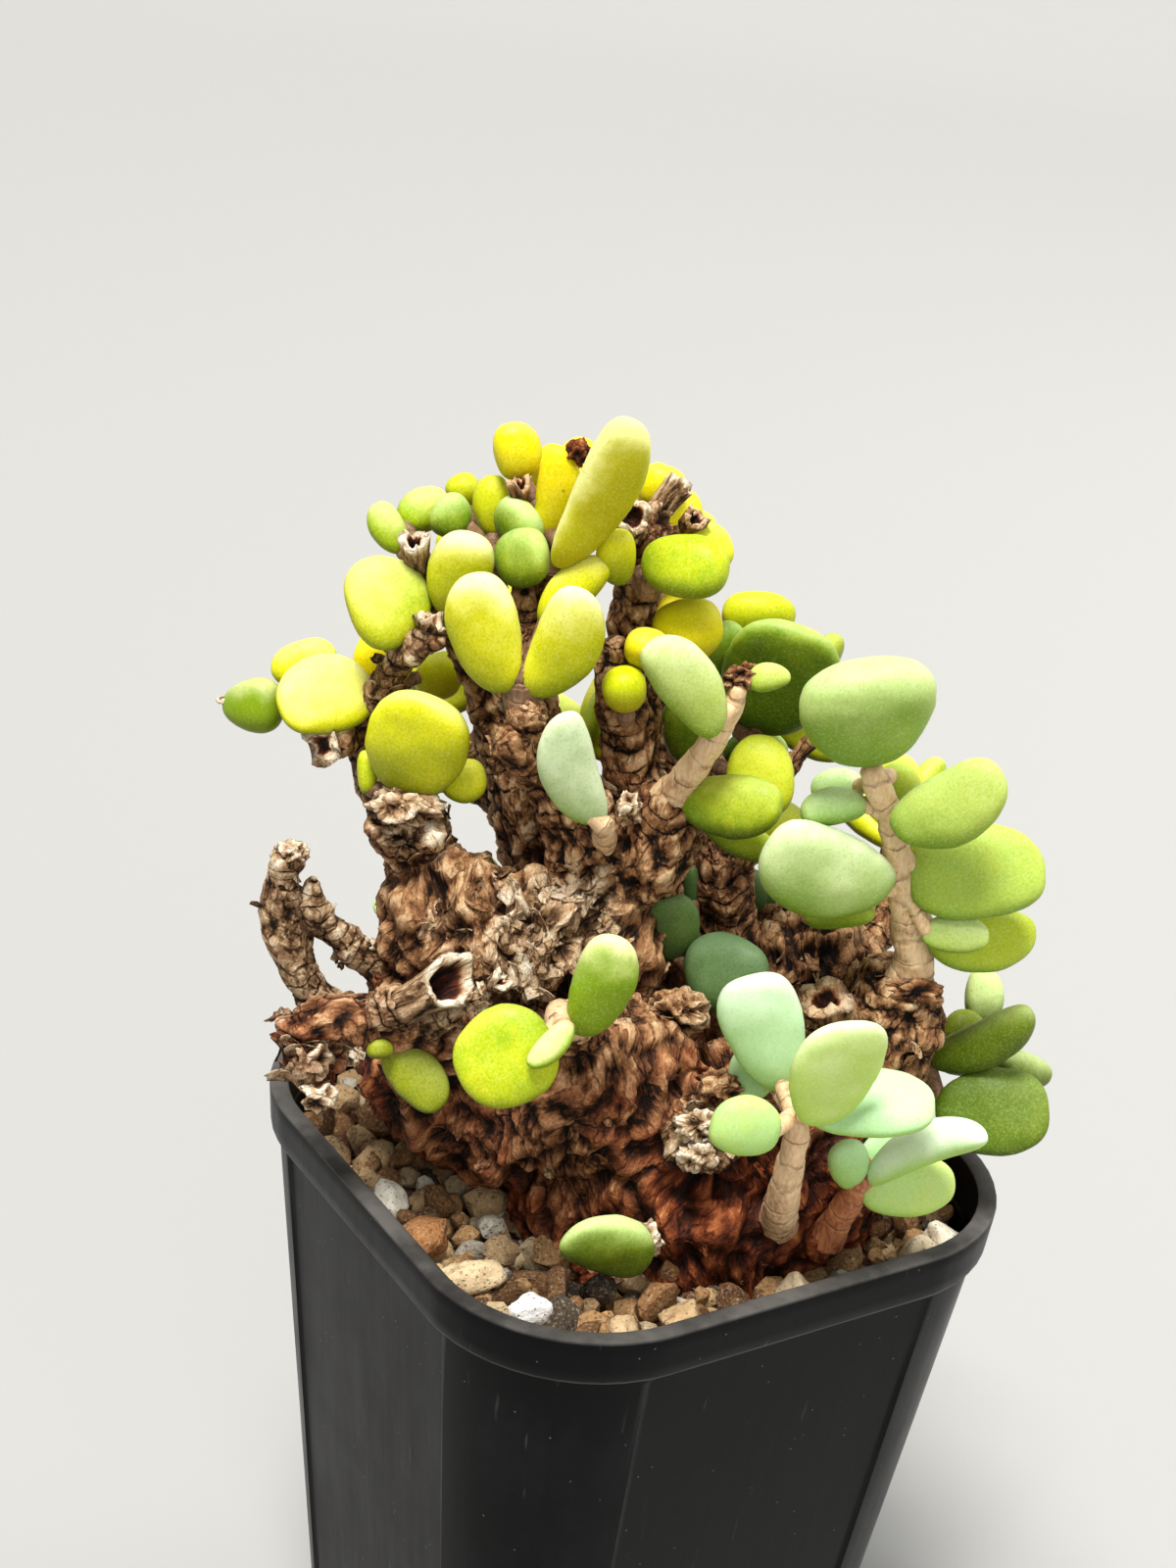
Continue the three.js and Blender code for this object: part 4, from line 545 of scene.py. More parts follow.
class Graph:
    """One material and its node tree."""

    def __init__(self, name: str) -> None:
        """Starts an empty material.

        Args:
            name: The material's name.
        """
        self.material = bpy.data.materials.new(name)
        self.material.use_nodes = True
        self.tree = self.material.node_tree
        self.tree.nodes.clear()

    def node(
        self,
        kind: str,
        settings: dict[str, Any] | None = None,
        inputs: dict[str | int, Any] | None = None,
        output: str | int | None = 0,
    ) -> Signal | None:
        """Adds a node.

        Args:
            kind: The node's type, after ShaderNode.
            settings: Its own settings, set first. stops are a colour ramp's (place, colour) pairs.
            inputs: Values or signals for its sockets, by name or number.
            output: The socket to give back, or None for a node that has none.

        Returns:
            The signal at that output.
        """
        made = self.tree.nodes.new(f"ShaderNode{kind}")
        for name, value in (settings or {}).items():
            if name == "stops":
                self._set_stops(made.color_ramp, value)
            else:
                setattr(made, name, value)
        for key, value in (inputs or {}).items():
            if isinstance(value, Signal):
                self.tree.links.new(value.socket, made.inputs[key])
            else:
                made.inputs[key].default_value = value
        return None if output is None else Signal(self, made.outputs[output])

    @staticmethod
    def _set_stops(ramp: bpy.types.ColorRamp, stops: list[tuple[float, Colour]]) -> None:
        """Gives a ramp its stops."""
        while len(ramp.elements) < len(stops):
            ramp.elements.new(0.5)
        for element, (place, colour) in zip(ramp.elements, stops):
            element.position = place
            element.color = colour

    def coordinates(self) -> Signal:
        """The place on the object, in metres."""
        return self.node("TexCoord", output="Object")

    def attribute(self, name: str, output: str = "Vector") -> Signal:
        """A value stored on the mesh's points."""
        return self.node("Attribute", {"attribute_name": name}, output=output)

    def upward(self) -> Signal:
        """How far the surface faces up, from -1 to 1."""
        return self.parts(self.node("NewGeometry", output="Normal"))[2]

    def grooves(self, turns: Signal, low: float, high: float) -> Signal:
        """Thin bands between one turn and the next."""
        wave = self.node("Math", {"operation": "FRACT"}, {0: turns})
        return self.step(abs(wave - 0.5), low, high)

    def few_cells(self, where: Signal, scale: float, least: float) -> Signal:
        """A mask of the cells whose chance number is over the least one."""
        return self.parts(self.cells(where, scale, output="Color"))[0] > least

    def parts(self, vector: Signal) -> list[Signal]:
        """The three numbers of a vector."""
        first = self.node("SeparateXYZ", inputs={0: vector})
        return [Signal(self, output) for output in first.socket.node.outputs]

    def noise(
        self, where: Signal, scale: float, detail: float = 4.0, rough: float = 0.55, warp: float = 0.0,
    ) -> Signal:
        """Cloudy noise from 0 to 1, its scale in blotches per metre."""
        sizes = {"Vector": where, "Scale": scale, "Detail": detail, "Roughness": rough, "Distortion": warp}
        return self.node("TexNoise", inputs=sizes)

    def cells(self, where: Signal, scale: float, feature: str = "F1", output: str = "Distance") -> Signal:
        """A pattern of cells, its scale in cells per metre."""
        inputs = {"Vector": where, "Scale": scale}
        return self.node("TexVoronoi", {"feature": feature}, inputs, output)

    def warped(self, where: Signal, scale: float, reach: float) -> Signal:
        """Coordinates that noise pushes about."""
        push = self.node("TexNoise", {}, {"Vector": where, "Scale": scale, "Detail": 2.0}, "Color")
        inputs = {0: push, 1: (reach,) * 3, 2: where}
        return self.node("VectorMath", {"operation": "MULTIPLY_ADD"}, inputs, "Vector")

    def stretched(self, where: Signal, scale: tuple[float, float, float], turn: float = 0.0) -> Signal:
        """Coordinates turned about Z, then stretched."""
        inputs = {"Vector": where, "Rotation": (0, 0, turn), "Scale": scale}
        return self.node("Mapping", inputs=inputs)

    def step(self, value: Any, low: float, high: float, bottom: float = 0.0, top: float = 1.0) -> Signal:
        """An S-shaped step from bottom, where value is low, to top, where it is high."""
        span = {"Value": value, "From Min": low, "From Max": high, "To Min": bottom, "To Max": top}
        return self.node("MapRange", {"interpolation_type": "SMOOTHSTEP"}, span)

    def ramp(self, value: Signal, stops: list[tuple[float, Colour]]) -> Signal:
        """A colour picked along a ramp."""
        return self.node("ValToRGB", {"stops": stops}, {0: value})

    def mix(self, first: Any, second: Any, share: Any, blend: str = "MIX") -> Signal:
        """Two colours mixed, or blended as a paint program would."""
        settings = {"data_type": "RGBA", "blend_type": blend}
        return self.node("Mix", settings, {0: share, 6: first, 7: second}, output=2)

    def layered(self, colour: Any, *coats: tuple[Any, Any]) -> Signal:
        """A colour with others laid over it in turn, each with the share that shows."""
        for coat, share in coats:
            colour = self.mix(colour, coat, share)
        return colour

    def bump(self, height: Signal, strength: float, distance: float, under: Signal | None = None) -> Signal:
        """A bumped normal, its distance in millimetres."""
        inputs = {"Height": height, "Strength": strength, "Distance": distance * MM}
        if under is not None:
            inputs["Normal"] = under
        return self.node("Bump", inputs=inputs)

    def surface(self, sockets: dict[str | int, Any]) -> Material:
        """Closes the material with a Principled shader.

        Args:
            sockets: The shader's values and signals.

        Returns:
            The finished material.
        """
        shader = self.node("BsdfPrincipled", inputs=sockets)
        self.node("OutputMaterial", inputs={"Surface": shader}, output=None)
        return self.material


@dataclass(frozen=True)
class LeafFinish:
    """Waxy leaf skin, thin enough for light to glow in it, with a painted highlight where it faces up and
    painted shade where it faces down.
    """

    name: str
    ripe: Colour
    fresh: Colour
    bloom_and_highlight: Colour
    shade: Colour
    bloom_and_highlight_start: float = 0.2

    def material(self) -> Material:
        """Builds the material.

        Returns:
            The material, which reads the leaf attribute: share along the leaf, how yellow, and how much pale
            bloom and painted highlight it takes.
        """
        graph = Graph(self.name)
        where = graph.coordinates()
        along, yellow, bloom_and_highlight = graph.parts(graph.attribute("leaf"))
        up = graph.upward()
        clouds = graph.noise(where, 160, 3)
        mottle = graph.noise(where, 700, 3, 0.6)
        grain = graph.noise(where, 3400, 2, 0.75)
        ripeness = yellow + (clouds - 0.5) * 0.7 + (mottle - 0.5) * 0.35 + along * 0.12 - 0.06
        # Painted highlight: the pale bloom colour is laid on where the leaf faces up, over the leaf's own
        # waxy bloom.
        lit = up + along * 0.3 + (clouds - 0.5) * 0.9 + bloom_and_highlight * 0.3
        bloom_and_top_highlight = graph.step(lit, self.bloom_and_highlight_start + 0.15, 1.25) * bloom_and_highlight
        pit = graph.step(graph.cells(where, 240) + (mottle - 0.5) * 0.15, 0.11, 0.04)
        pit = pit * graph.few_cells(where, 240, 0.93)
        skin = graph.layered(
            self.fresh,
            (self.ripe, graph.step(ripeness, 0.0, 1.0)),
            # A yellow below 0 darkens the leaf towards the shade colour: painted shade for a leaf in shadow.
            (self.shade, graph.step(yellow, 0.0, -1.0)),
            # Painted shade: the shade colour laid on where the surface faces down.
            (self.shade, graph.step(up + (clouds - 0.5) * 0.3, 0.3, -0.85, 0.0, 0.95)),
            (self.shade, graph.step(along, 0.0, 0.2, 0.3, 0.0)),
            (self.bloom_and_highlight, bloom_and_top_highlight * (0.55 + mottle * 0.7)),
            # Light specks of the same pale colour: the skin's pale dots, with painted glints.
            (self.bloom_and_highlight, graph.step(grain, 0.48, 0.72, 0.0, 0.18) * graph.step(yellow, -0.8, 0.2, 0.2)),
            (self.shade, graph.step(grain, 0.48, 0.28, 0.0, 0.26)),
            (srgb(112, 74, 28), pit * 0.75),
        )
        height = grain * 0.45 + mottle * 0.6 - pit * 2.0
        relief = graph.bump(clouds, 0.3, 0.6, graph.bump(height, 0.25, 0.12))
        return graph.surface({
            "Base Color": skin,
            "Roughness": graph.step(clouds + grain * 0.4, 0.4, 0.9, 0.34, 0.52),
            "Normal": relief,
            "Subsurface Weight": 0.3,
            "Subsurface Radius": (0.9, 1.0, 0.25),
            "Subsurface Scale": 1.8 * MM,
            "Specular IOR Level": 0.17,
        })


@dataclass(frozen=True)
class BarkFinish:
    """Old cracked bark: dark in its cracks and tan on its ridges, partly as painted shade and light, with
    rusty and bleached places.
    """

    name: str = "bark"

    def material(self) -> Material:
        """Builds the material.

        Returns:
            The material, which reads the bark attribute (pale, rust, and height, which carries painted shade
            and light) and the ring attribute.
        """
        graph = Graph(self.name)
        where = graph.coordinates()
        pale, rust, height = graph.parts(graph.attribute("bark"))
        wood = graph.attribute("wood")
        ring = graph.attribute("ring", "Fac")
        up = graph.upward()
        clouds = graph.noise(where, 150, 4)
        fibre = graph.noise(wood, 0.9, 5, 0.7, 0.5)
        fine = graph.noise(wood, 3.2, 3, 0.7)
        grit = graph.noise(where, 2800, 3, 0.7)
        groove = graph.grooves(ring + (fibre - 0.5) * 0.5, 0.4, 0.5) * graph.step(clouds, 0.38, 0.6)
        edge = graph.cells(graph.warped(wood, 0.7, 2.4), 0.5, "DISTANCE_TO_EDGE")
        crack = graph.step(edge, 0.13, 0.02) * graph.step(fibre, 0.3, 0.6)
        # The height channel darkens hollows and lightens ridges, and up lightens upward faces: painted shade
        # and painted light.
        tint = height + (fibre - 0.5) * 0.55 + (fine - 0.5) * 0.5 + (grit - 0.5) * 0.35 + (clouds - 0.5) * 0.3
        tint = tint + up * 0.1 - groove * 0.32 - crack * graph.step(rust, 0.3, 0.8, 0.26, 0.2)
        brown = graph.ramp(tint, [
            (0.14, srgb(15, 8, 4)), (0.29, srgb(70, 42, 23)), (0.45, srgb(130, 88, 55)),
            (0.65, srgb(178, 134, 92)), (0.9, srgb(230, 200, 158)),
        ])
        rusty = graph.ramp(tint, [
            (0.14, srgb(18, 6, 3)), (0.34, srgb(62, 25, 11)), (0.52, srgb(106, 49, 24)),
            (0.72, srgb(156, 86, 46)), (0.96, srgb(218, 160, 108)),
        ])
        bleached = graph.ramp(tint, [
            (0.14, srgb(26, 14, 7)), (0.3, srgb(84, 58, 36)), (0.47, srgb(154, 120, 86)),
            (0.66, srgb(210, 182, 146)), (0.88, srgb(250, 238, 216)),
        ])
        worn = pale + (clouds - 0.5) * 0.7 + (fibre - 0.5) * 0.4
        rusted = graph.step(rust + (clouds - 0.5) * 0.9, 0.15, 0.8)
        colour = graph.layered(brown, (rusty, rusted), (bleached, graph.step(worn, 0.25, 0.8)))
        under = graph.bump(fine + grit * 0.6, 0.8, 0.25)
        relief = graph.bump(fibre - groove * 0.6 - crack * 0.5, 0.9, 0.5, under)
        return graph.surface({
            "Base Color": colour,
            "Roughness": graph.step(fibre + pale * 0.1, 0.3, 0.8, 0.6, 0.9),
            "Normal": relief,
            "Specular IOR Level": 0.2,
        })


@dataclass(frozen=True)
class TwigFinish:
    """Young papery skin in cream and tan, with fine rings and browner flakes."""

    name: str
    light: Colour
    middle: Colour
    stain: Colour

    def material(self) -> Material:
        """Builds the material.

        Returns:
            The material, which reads the twig attribute: share along the twig, and ring.
        """
        graph = Graph(self.name)
        where = graph.coordinates()
        along, ring, _ = graph.parts(graph.attribute("twig"))
        clouds = graph.noise(where, 330, 4, 0.6)
        fibre = graph.noise(graph.stretched(where, (1, 1, 0.35)), 2600, 4, 0.65)
        groove = graph.grooves(ring + (clouds - 0.5) * 0.7, 0.4, 0.49)
        worn = graph.step(clouds + (fibre - 0.5) * 0.5 - along * 0.18, 0.46, 0.66)
        colour = graph.layered(
            self.light,
            (self.middle, graph.step(fibre + clouds * 0.4, 0.45, 0.95)),
            (self.stain, worn * 0.6),
            (srgb(96, 62, 38), groove * graph.step(clouds, 0.35, 0.6, 0.1, 0.6)),
        )
        relief = graph.bump(fibre * 0.5 + worn * 0.4 - groove * 0.6, 0.6, 0.3)
        return graph.surface({
            "Base Color": colour,
            "Roughness": graph.step(worn + fibre * 0.3, 0.0, 1.2, 0.5, 0.85),
            "Normal": relief,
            "Subsurface Weight": 0.08,
            "Subsurface Radius": (1.0, 0.6, 0.35),
            "Subsurface Scale": 1.0 * MM,
            "Specular IOR Level": 0.4,
        })


@dataclass(frozen=True)
class StoneFinish:
    """Dry grit and stone in the colour that each stone carries."""

    name: str
    stain: Colour = srgb(92, 58, 34)

    def material(self) -> Material:
        """Builds the material.

        Returns:
            The material, which reads the tint attribute.
        """
        graph = Graph(self.name)
        where = graph.coordinates()
        tint = graph.attribute("tint")
        clouds = graph.noise(where, 420, 5, 0.65)
        grain = graph.noise(where, 2600, 4, 0.7)
        hole = graph.step(graph.cells(where, 1500) + (grain - 0.5) * 0.3, 0.3, 0.12)
        colour = graph.layered(
            graph.mix(tint, self.stain, graph.step(clouds, 0.48, 0.72, 0.0, 0.55), "MULTIPLY"),
            (srgb(236, 218, 186), graph.step(grain, 0.5, 0.72, 0.0, 0.4)),
            (srgb(38, 24, 15), graph.step(grain, 0.46, 0.3, 0.0, 0.45)),
            (srgb(48, 30, 20), hole * 0.45),
        )
        relief = graph.bump(clouds + grain * 0.45 - hole * 0.3, 0.8, 0.5)
        return graph.surface({
            "Base Color": colour,
            "Roughness": graph.step(clouds, 0.3, 0.7, 0.82, 0.97),
            "Normal": relief,
            "Specular IOR Level": 0.3,
        })


@dataclass(frozen=True)
class PlasticFinish:
    """Black moulded plastic with a soft gloss, fine scratches and dust, and a lip and band edge lightened as
    wear and painted highlight.
    """

    name: str = "pot_plastic"

    def material(self) -> Material:
        """Builds the material.

        Returns:
            The material.
        """
        graph = Graph(self.name)
        where = graph.coordinates()
        clouds = graph.noise(where, 55, 4, 0.6)
        drag = graph.noise(graph.stretched(where, (1, 1, 0.06)), 420, 3, 0.6)
        hairline = graph.noise(graph.stretched(where, (1, 1, 0.03), 0.4), 900, 2, 0.5)
        scratch = graph.step(hairline, 0.69, 0.74)
        speck = graph.step(graph.cells(where, 640), 0.09, 0.05) * graph.few_cells(where, 640, 0.7)
        dust = graph.step(clouds + drag * 0.4, 0.62, 0.95, 0.0, 0.35)
        height = graph.parts(where)[2]
        # The lip and the band's lower edge are lightened: rubbed wear, and a painted highlight along the rim.
        lip = graph.step(height, (POT_HEIGHT - 0.5) * MM, (POT_HEIGHT - 0.15) * MM)
        off_edge = abs(height - (POT_HEIGHT - RIM_BAND + 0.3) * MM)
        edge = graph.step(off_edge, 0.4 * MM, 0.1 * MM)
        worn = (lip * 0.5 + edge * 0.3) * graph.step(clouds + drag * 0.3, 0.4, 0.8, 0.25, 1.0)
        colour = graph.layered(
            srgb(8, 8, 10),
            (srgb(34, 32, 34), dust),
            (srgb(96, 90, 84), scratch * graph.step(clouds, 0.45, 0.7, 0.1, 0.55)),
            (srgb(120, 114, 106), speck * 0.7),
            (srgb(128, 124, 120), worn),
        )
        under = graph.bump(graph.noise(where, 3000, 2), 0.06, 0.1)
        relief = graph.bump(drag * 0.6 + clouds, 0.12, 0.4, under)
        return graph.surface({
            "Base Color": colour,
            "Roughness": graph.step(clouds + drag * 0.5, 0.5, 1.1, 0.3, 0.46),
            "Normal": relief,
            "Specular IOR Level": 0.09,
        })


LEAF_FINISHES: dict[Tone, LeafFinish] = {
    Tone.LIME: LeafFinish(
        "leaf_lime", srgb(236, 232, 10), srgb(146, 184, 26), srgb(252, 252, 184), srgb(106, 122, 2), 0.3,
    ),
    Tone.GOLD: LeafFinish(
        "leaf_gold", srgb(248, 228, 4), srgb(206, 214, 6), srgb(253, 251, 160), srgb(158, 142, 0), 0.4,
    ),
    Tone.GREEN: LeafFinish(
        "leaf_green", srgb(210, 212, 10), srgb(98, 146, 32), srgb(210, 236, 152), srgb(54, 78, 4), 0.1,
    ),
    Tone.PALE: LeafFinish(
        "leaf_pale", srgb(188, 204, 48), srgb(150, 196, 92), srgb(234, 250, 208), srgb(104, 136, 18), -0.5,
    ),
    Tone.BLUE: LeafFinish(
        "leaf_blue", srgb(210, 228, 100), srgb(178, 226, 158), srgb(232, 250, 222), srgb(156, 196, 70), -0.3,
    ),
    Tone.DEEP: LeafFinish(
        "leaf_deep", srgb(112, 134, 54), srgb(78, 108, 58), srgb(136, 166, 122), srgb(40, 60, 22), 0.0,
    ),
}
# A darker, duller copy of the leaf finish for the right_back and low_left shoots: painted shade, as their
# leaves sit in shadow.
SHADED_OLIVE_LEAF = LeafFinish(
    "leaf_olive_shaded", srgb(158, 164, 24), srgb(92, 118, 22), srgb(206, 226, 150), srgb(56, 74, 4), 0.2,
)
CREAM_TWIG = TwigFinish("twig_cream", srgb(244, 212, 170), srgb(216, 172, 126), srgb(160, 110, 70))
RED_TWIG = TwigFinish("twig_red", srgb(206, 140, 96), srgb(164, 88, 52), srgb(96, 44, 26))
BROWN_TWIG = TwigFinish("twig_brown", srgb(158, 122, 92), srgb(110, 76, 54), srgb(58, 36, 26))


def added(name: str, data: Any) -> Piece:
    """Puts an object with its data into the scene."""
    made = bpy.data.objects.new(name, data)
    bpy.context.scene.collection.objects.link(made)
    return made


def settled(bm: Form, name: str, place: Matrix) -> Piece:
    """Makes a form in millimetres into an object in metres.

    Args:
        bm: The form, which is freed.
        name: The piece's name.
        place: Where the form's own frame lies.

    Returns:
        The object, linked to the scene, with its place in its mesh.
    """
    bmesh.ops.transform(bm, matrix=Matrix.Scale(MM, 4) @ place, verts=bm.verts)
    mesh = bpy.data.meshes.new(name)
    bm.to_mesh(mesh)
    bm.free()
    mesh.shade_smooth()
    return added(name, mesh)


def dressed(piece: Piece, material: Material, slot: str, *nodes: str) -> None:
    """Gives a piece its finish and its place in the frame, and reports it.

    Args:
        piece: The piece.
        material: Its finish.
        slot: The record's slot that the finish belongs to; not used.
        nodes: The solids that it stands for.
    """
    piece.data.materials.clear()
    piece.data.materials.append(material)
    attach(piece, BODY)
    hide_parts(*nodes)
    LOG.info("%s: %d faces for %s", piece.name, len(piece.data.polygons), ", ".join(nodes))


def baked(piece: Piece) -> None:
    """Applies a piece's modifiers to its mesh."""
    bpy.context.view_layer.update()
    depsgraph = bpy.context.evaluated_depsgraph_get()
    rough = piece.data
    mesh = bpy.data.meshes.new_from_object(piece.evaluated_get(depsgraph), depsgraph=depsgraph)
    piece.modifiers.clear()
    piece.data = mesh
    bpy.data.meshes.remove(rough)


def store(mesh: Mesh, name: str, kind: str, values: Array) -> None:
    """Stores one value, vector or colour for each point of a mesh."""
    layer = mesh.attributes.new(name, kind, "POINT")
    key = {"FLOAT": "value", "FLOAT_VECTOR": "vector", "FLOAT_COLOR": "color"}[kind]
    layer.data.foreach_set(key, np.ascontiguousarray(values, dtype=np.float32).ravel())


def rows_of(items: Any, key: str) -> Array:
    """Reads a vector from each item of a mesh's list, one row each."""
    flat = np.empty(len(items) * 3)
    items.foreach_get(key, flat)
    return flat.reshape(-1, 3)


def form_with(*names: str) -> Form:
    """Starts an empty form that carries a vector attribute of each name."""
    bm = bmesh.new()
    for name in names:
        bm.verts.layers.float_vector.new(name)
    return bm


def mark(bm: Form, name: str, verts: Verts, values: Any) -> None:
    """Writes a vector for each of some vertices, or one for them all, into a form's named attribute."""
    layer = bm.verts.layers.float_vector[name]
    values = np.asarray(values, dtype=float)
    rows = np.broadcast_to(values, (len(verts), 3)).tolist()
    for vert, row in zip(verts, rows):
        vert[layer] = row


def points_of(verts: Verts) -> Array:
    """The places of some vertices, one row each."""
    return np.array([vert.co[:] for vert in verts])


def put(verts: Verts, places: Array) -> None:
    """Moves vertices to new places."""
    for vert, place in zip(verts, places):
        vert.co = place


def drawn_ball(
    bm: Form, sides: int, rows: int,
) -> tuple[Verts, Array, Array, Array]:
    """Adds a ball that can be drawn out into a tube.

    Args:
        bm: The form to add to.
        sides: How many sides it has.
        rows: How many rows it has between its poles.

    Returns:
        Its vertices, and the row, the side and the angle of each. A pole's row is 0 or rows + 1.
    """
    verts = bmesh.ops.create_uvsphere(bm, u_segments=sides, v_segments=rows + 1, radius=1.0)["verts"]
    ball = points_of(verts)
    row = np.rint((1 - np.arccos(np.clip(ball[:, 2], -1, 1)) / math.pi) * (rows + 1)).astype(int)
    angle = np.arctan2(ball[:, 1], ball[:, 0])
    side = np.rint(angle / (2 * math.pi) * sides).astype(int) % sides
    return verts, row, side, angle


class Course:
    """A smooth course through points of [x, y, z, radius]: the curve that the solids follow."""

    SAMPLES = 24
    PARTS = ("arc", "place", "radius", "tangent", "normal", "binormal")

    def __init__(self, points: Table, step: float) -> None:
        """Works out stations along the course.

        Args:
            points: The knots, root to tip.
            step: The distance between stations, in millimetres.
        """
        knots = np.array(points, dtype=float)
        fine = np.vstack([self._stretch(knots, i) for i in range(len(knots) - 1)] + [knots[-1:, :3]])
        run = np.concatenate([[0.0], np.cumsum(np.linalg.norm(np.diff(fine, axis=0), axis=1))])
        knot_at = np.linspace(0, len(knots) - 1, len(fine))
        self.length = float(run[-1])
        count = max(3, round(self.length / step)) + 1
        self.arc = np.linspace(0.0, self.length, count)
        self.place = np.column_stack([np.interp(self.arc, run, fine[:, axis]) for axis in range(3)])
        self.radius = np.interp(np.interp(self.arc, run, knot_at), np.arange(len(knots)), knots[:, 3])
        tangent = np.gradient(self.place, axis=0)
        self.tangent = tangent / np.linalg.norm(tangent, axis=1, keepdims=True)
        self.normal, self.binormal = self._frames()

    def _stretch(self, knots: Array, i: int) -> Array:
        """Centripetal points from knot i to the next."""
        p = knots[:, :3]
        before = p[i - 1] if i > 0 else 2 * p[0] - p[1]
        after = p[i + 2] if i + 2 < len(p) else 2 * p[-1] - p[-2]
        a, b = p[i], p[i + 1]
        spans = (a - before, b - a, after - b)
        d0, d1, d2 = (max(1e-4, float(np.linalg.norm(span))) ** 0.5 for span in spans)
        leave = ((a - before) / d0 - (b - before) / (d0 + d1) + (b - a) / d1) * d1
        reach = ((b - a) / d1 - (after - a) / (d1 + d2) + (after - b) / d2) * d1
        t = np.linspace(0, 1, self.SAMPLES, endpoint=False)[:, None]
        return a + leave * t + (3 * (b - a) - 2 * leave - reach) * t**2 + (2 * (a - b) + leave + reach) * t**3

    def _frames(self) -> tuple[Array, Array]:
        """Normals and binormals that turn as little as they can along the course."""
        first = self.tangent[0]
        side = np.cross(first, [1.0, 0.0, 0.0] if abs(first[0]) < 0.8 else [0.0, 1.0, 0.0])
        normals = []
        for tangent in self.tangent:
            side = side - tangent * float(side @ tangent)
            side = side / np.linalg.norm(side)
            normals.append(side)
        normal = np.array(normals)
        return normal, np.cross(self.tangent, normal)

    def cut_back(self, depth: float) -> None:
        """Drops the course's last stretch, so that a hollow can stand there."""
        kept = self.arc <= self.length - depth
        for part in self.PARTS:
            setattr(self, part, getattr(self, part)[kept])

    def around(
        self, station: Array, angle: Array, reach: Array, push: Array,
    ) -> Array:
        """Places that stand round some stations: at an angle, at a reach, and pushed along the course."""
        return (
            self.place[station]
            + self.normal[station] * (reach * np.cos(angle))[:, None]
            + self.binormal[station] * (reach * np.sin(angle))[:, None]
            + self.tangent[station] * push[:, None]
        )

    def tube(
        self, bm: Form, sides: int, radius: Array, cap: float = 0.25,
    ) -> tuple[Verts, Array]:
        """Adds a closed tube along the course: a ball drawn out to it.

        Args:
            bm: The form to add to.
            sides: How many sides the tube has.
            radius: Its radius at each station and side, or at each station.
            cap: How far its ends bulge, as a share of the radius.

        Returns:
            The tube's vertices, and the station of each as a number.
        """
        count = len(self.arc)
        verts, row, side, angle = drawn_ball(bm, sides, count)
        station = np.clip(row - 1, 0, count - 1)
        end = (row == count + 1).astype(float) - (row == 0)
        reach = (radius[station, side] if radius.ndim == 2 else radius[station]) * (end == 0)
        put(verts, self.around(station, angle, reach, end * cap * self.radius[station]))
        return verts, station


def limb_course(name: str, step: float) -> Course:
    """The course of a limb's living wood."""
    slim = LIMB_LOOKS.get(name, PLAIN_LIMB)[2]
    return Course([[*row[:3], row[3] * slim] for row in LIMBS[name]], step)


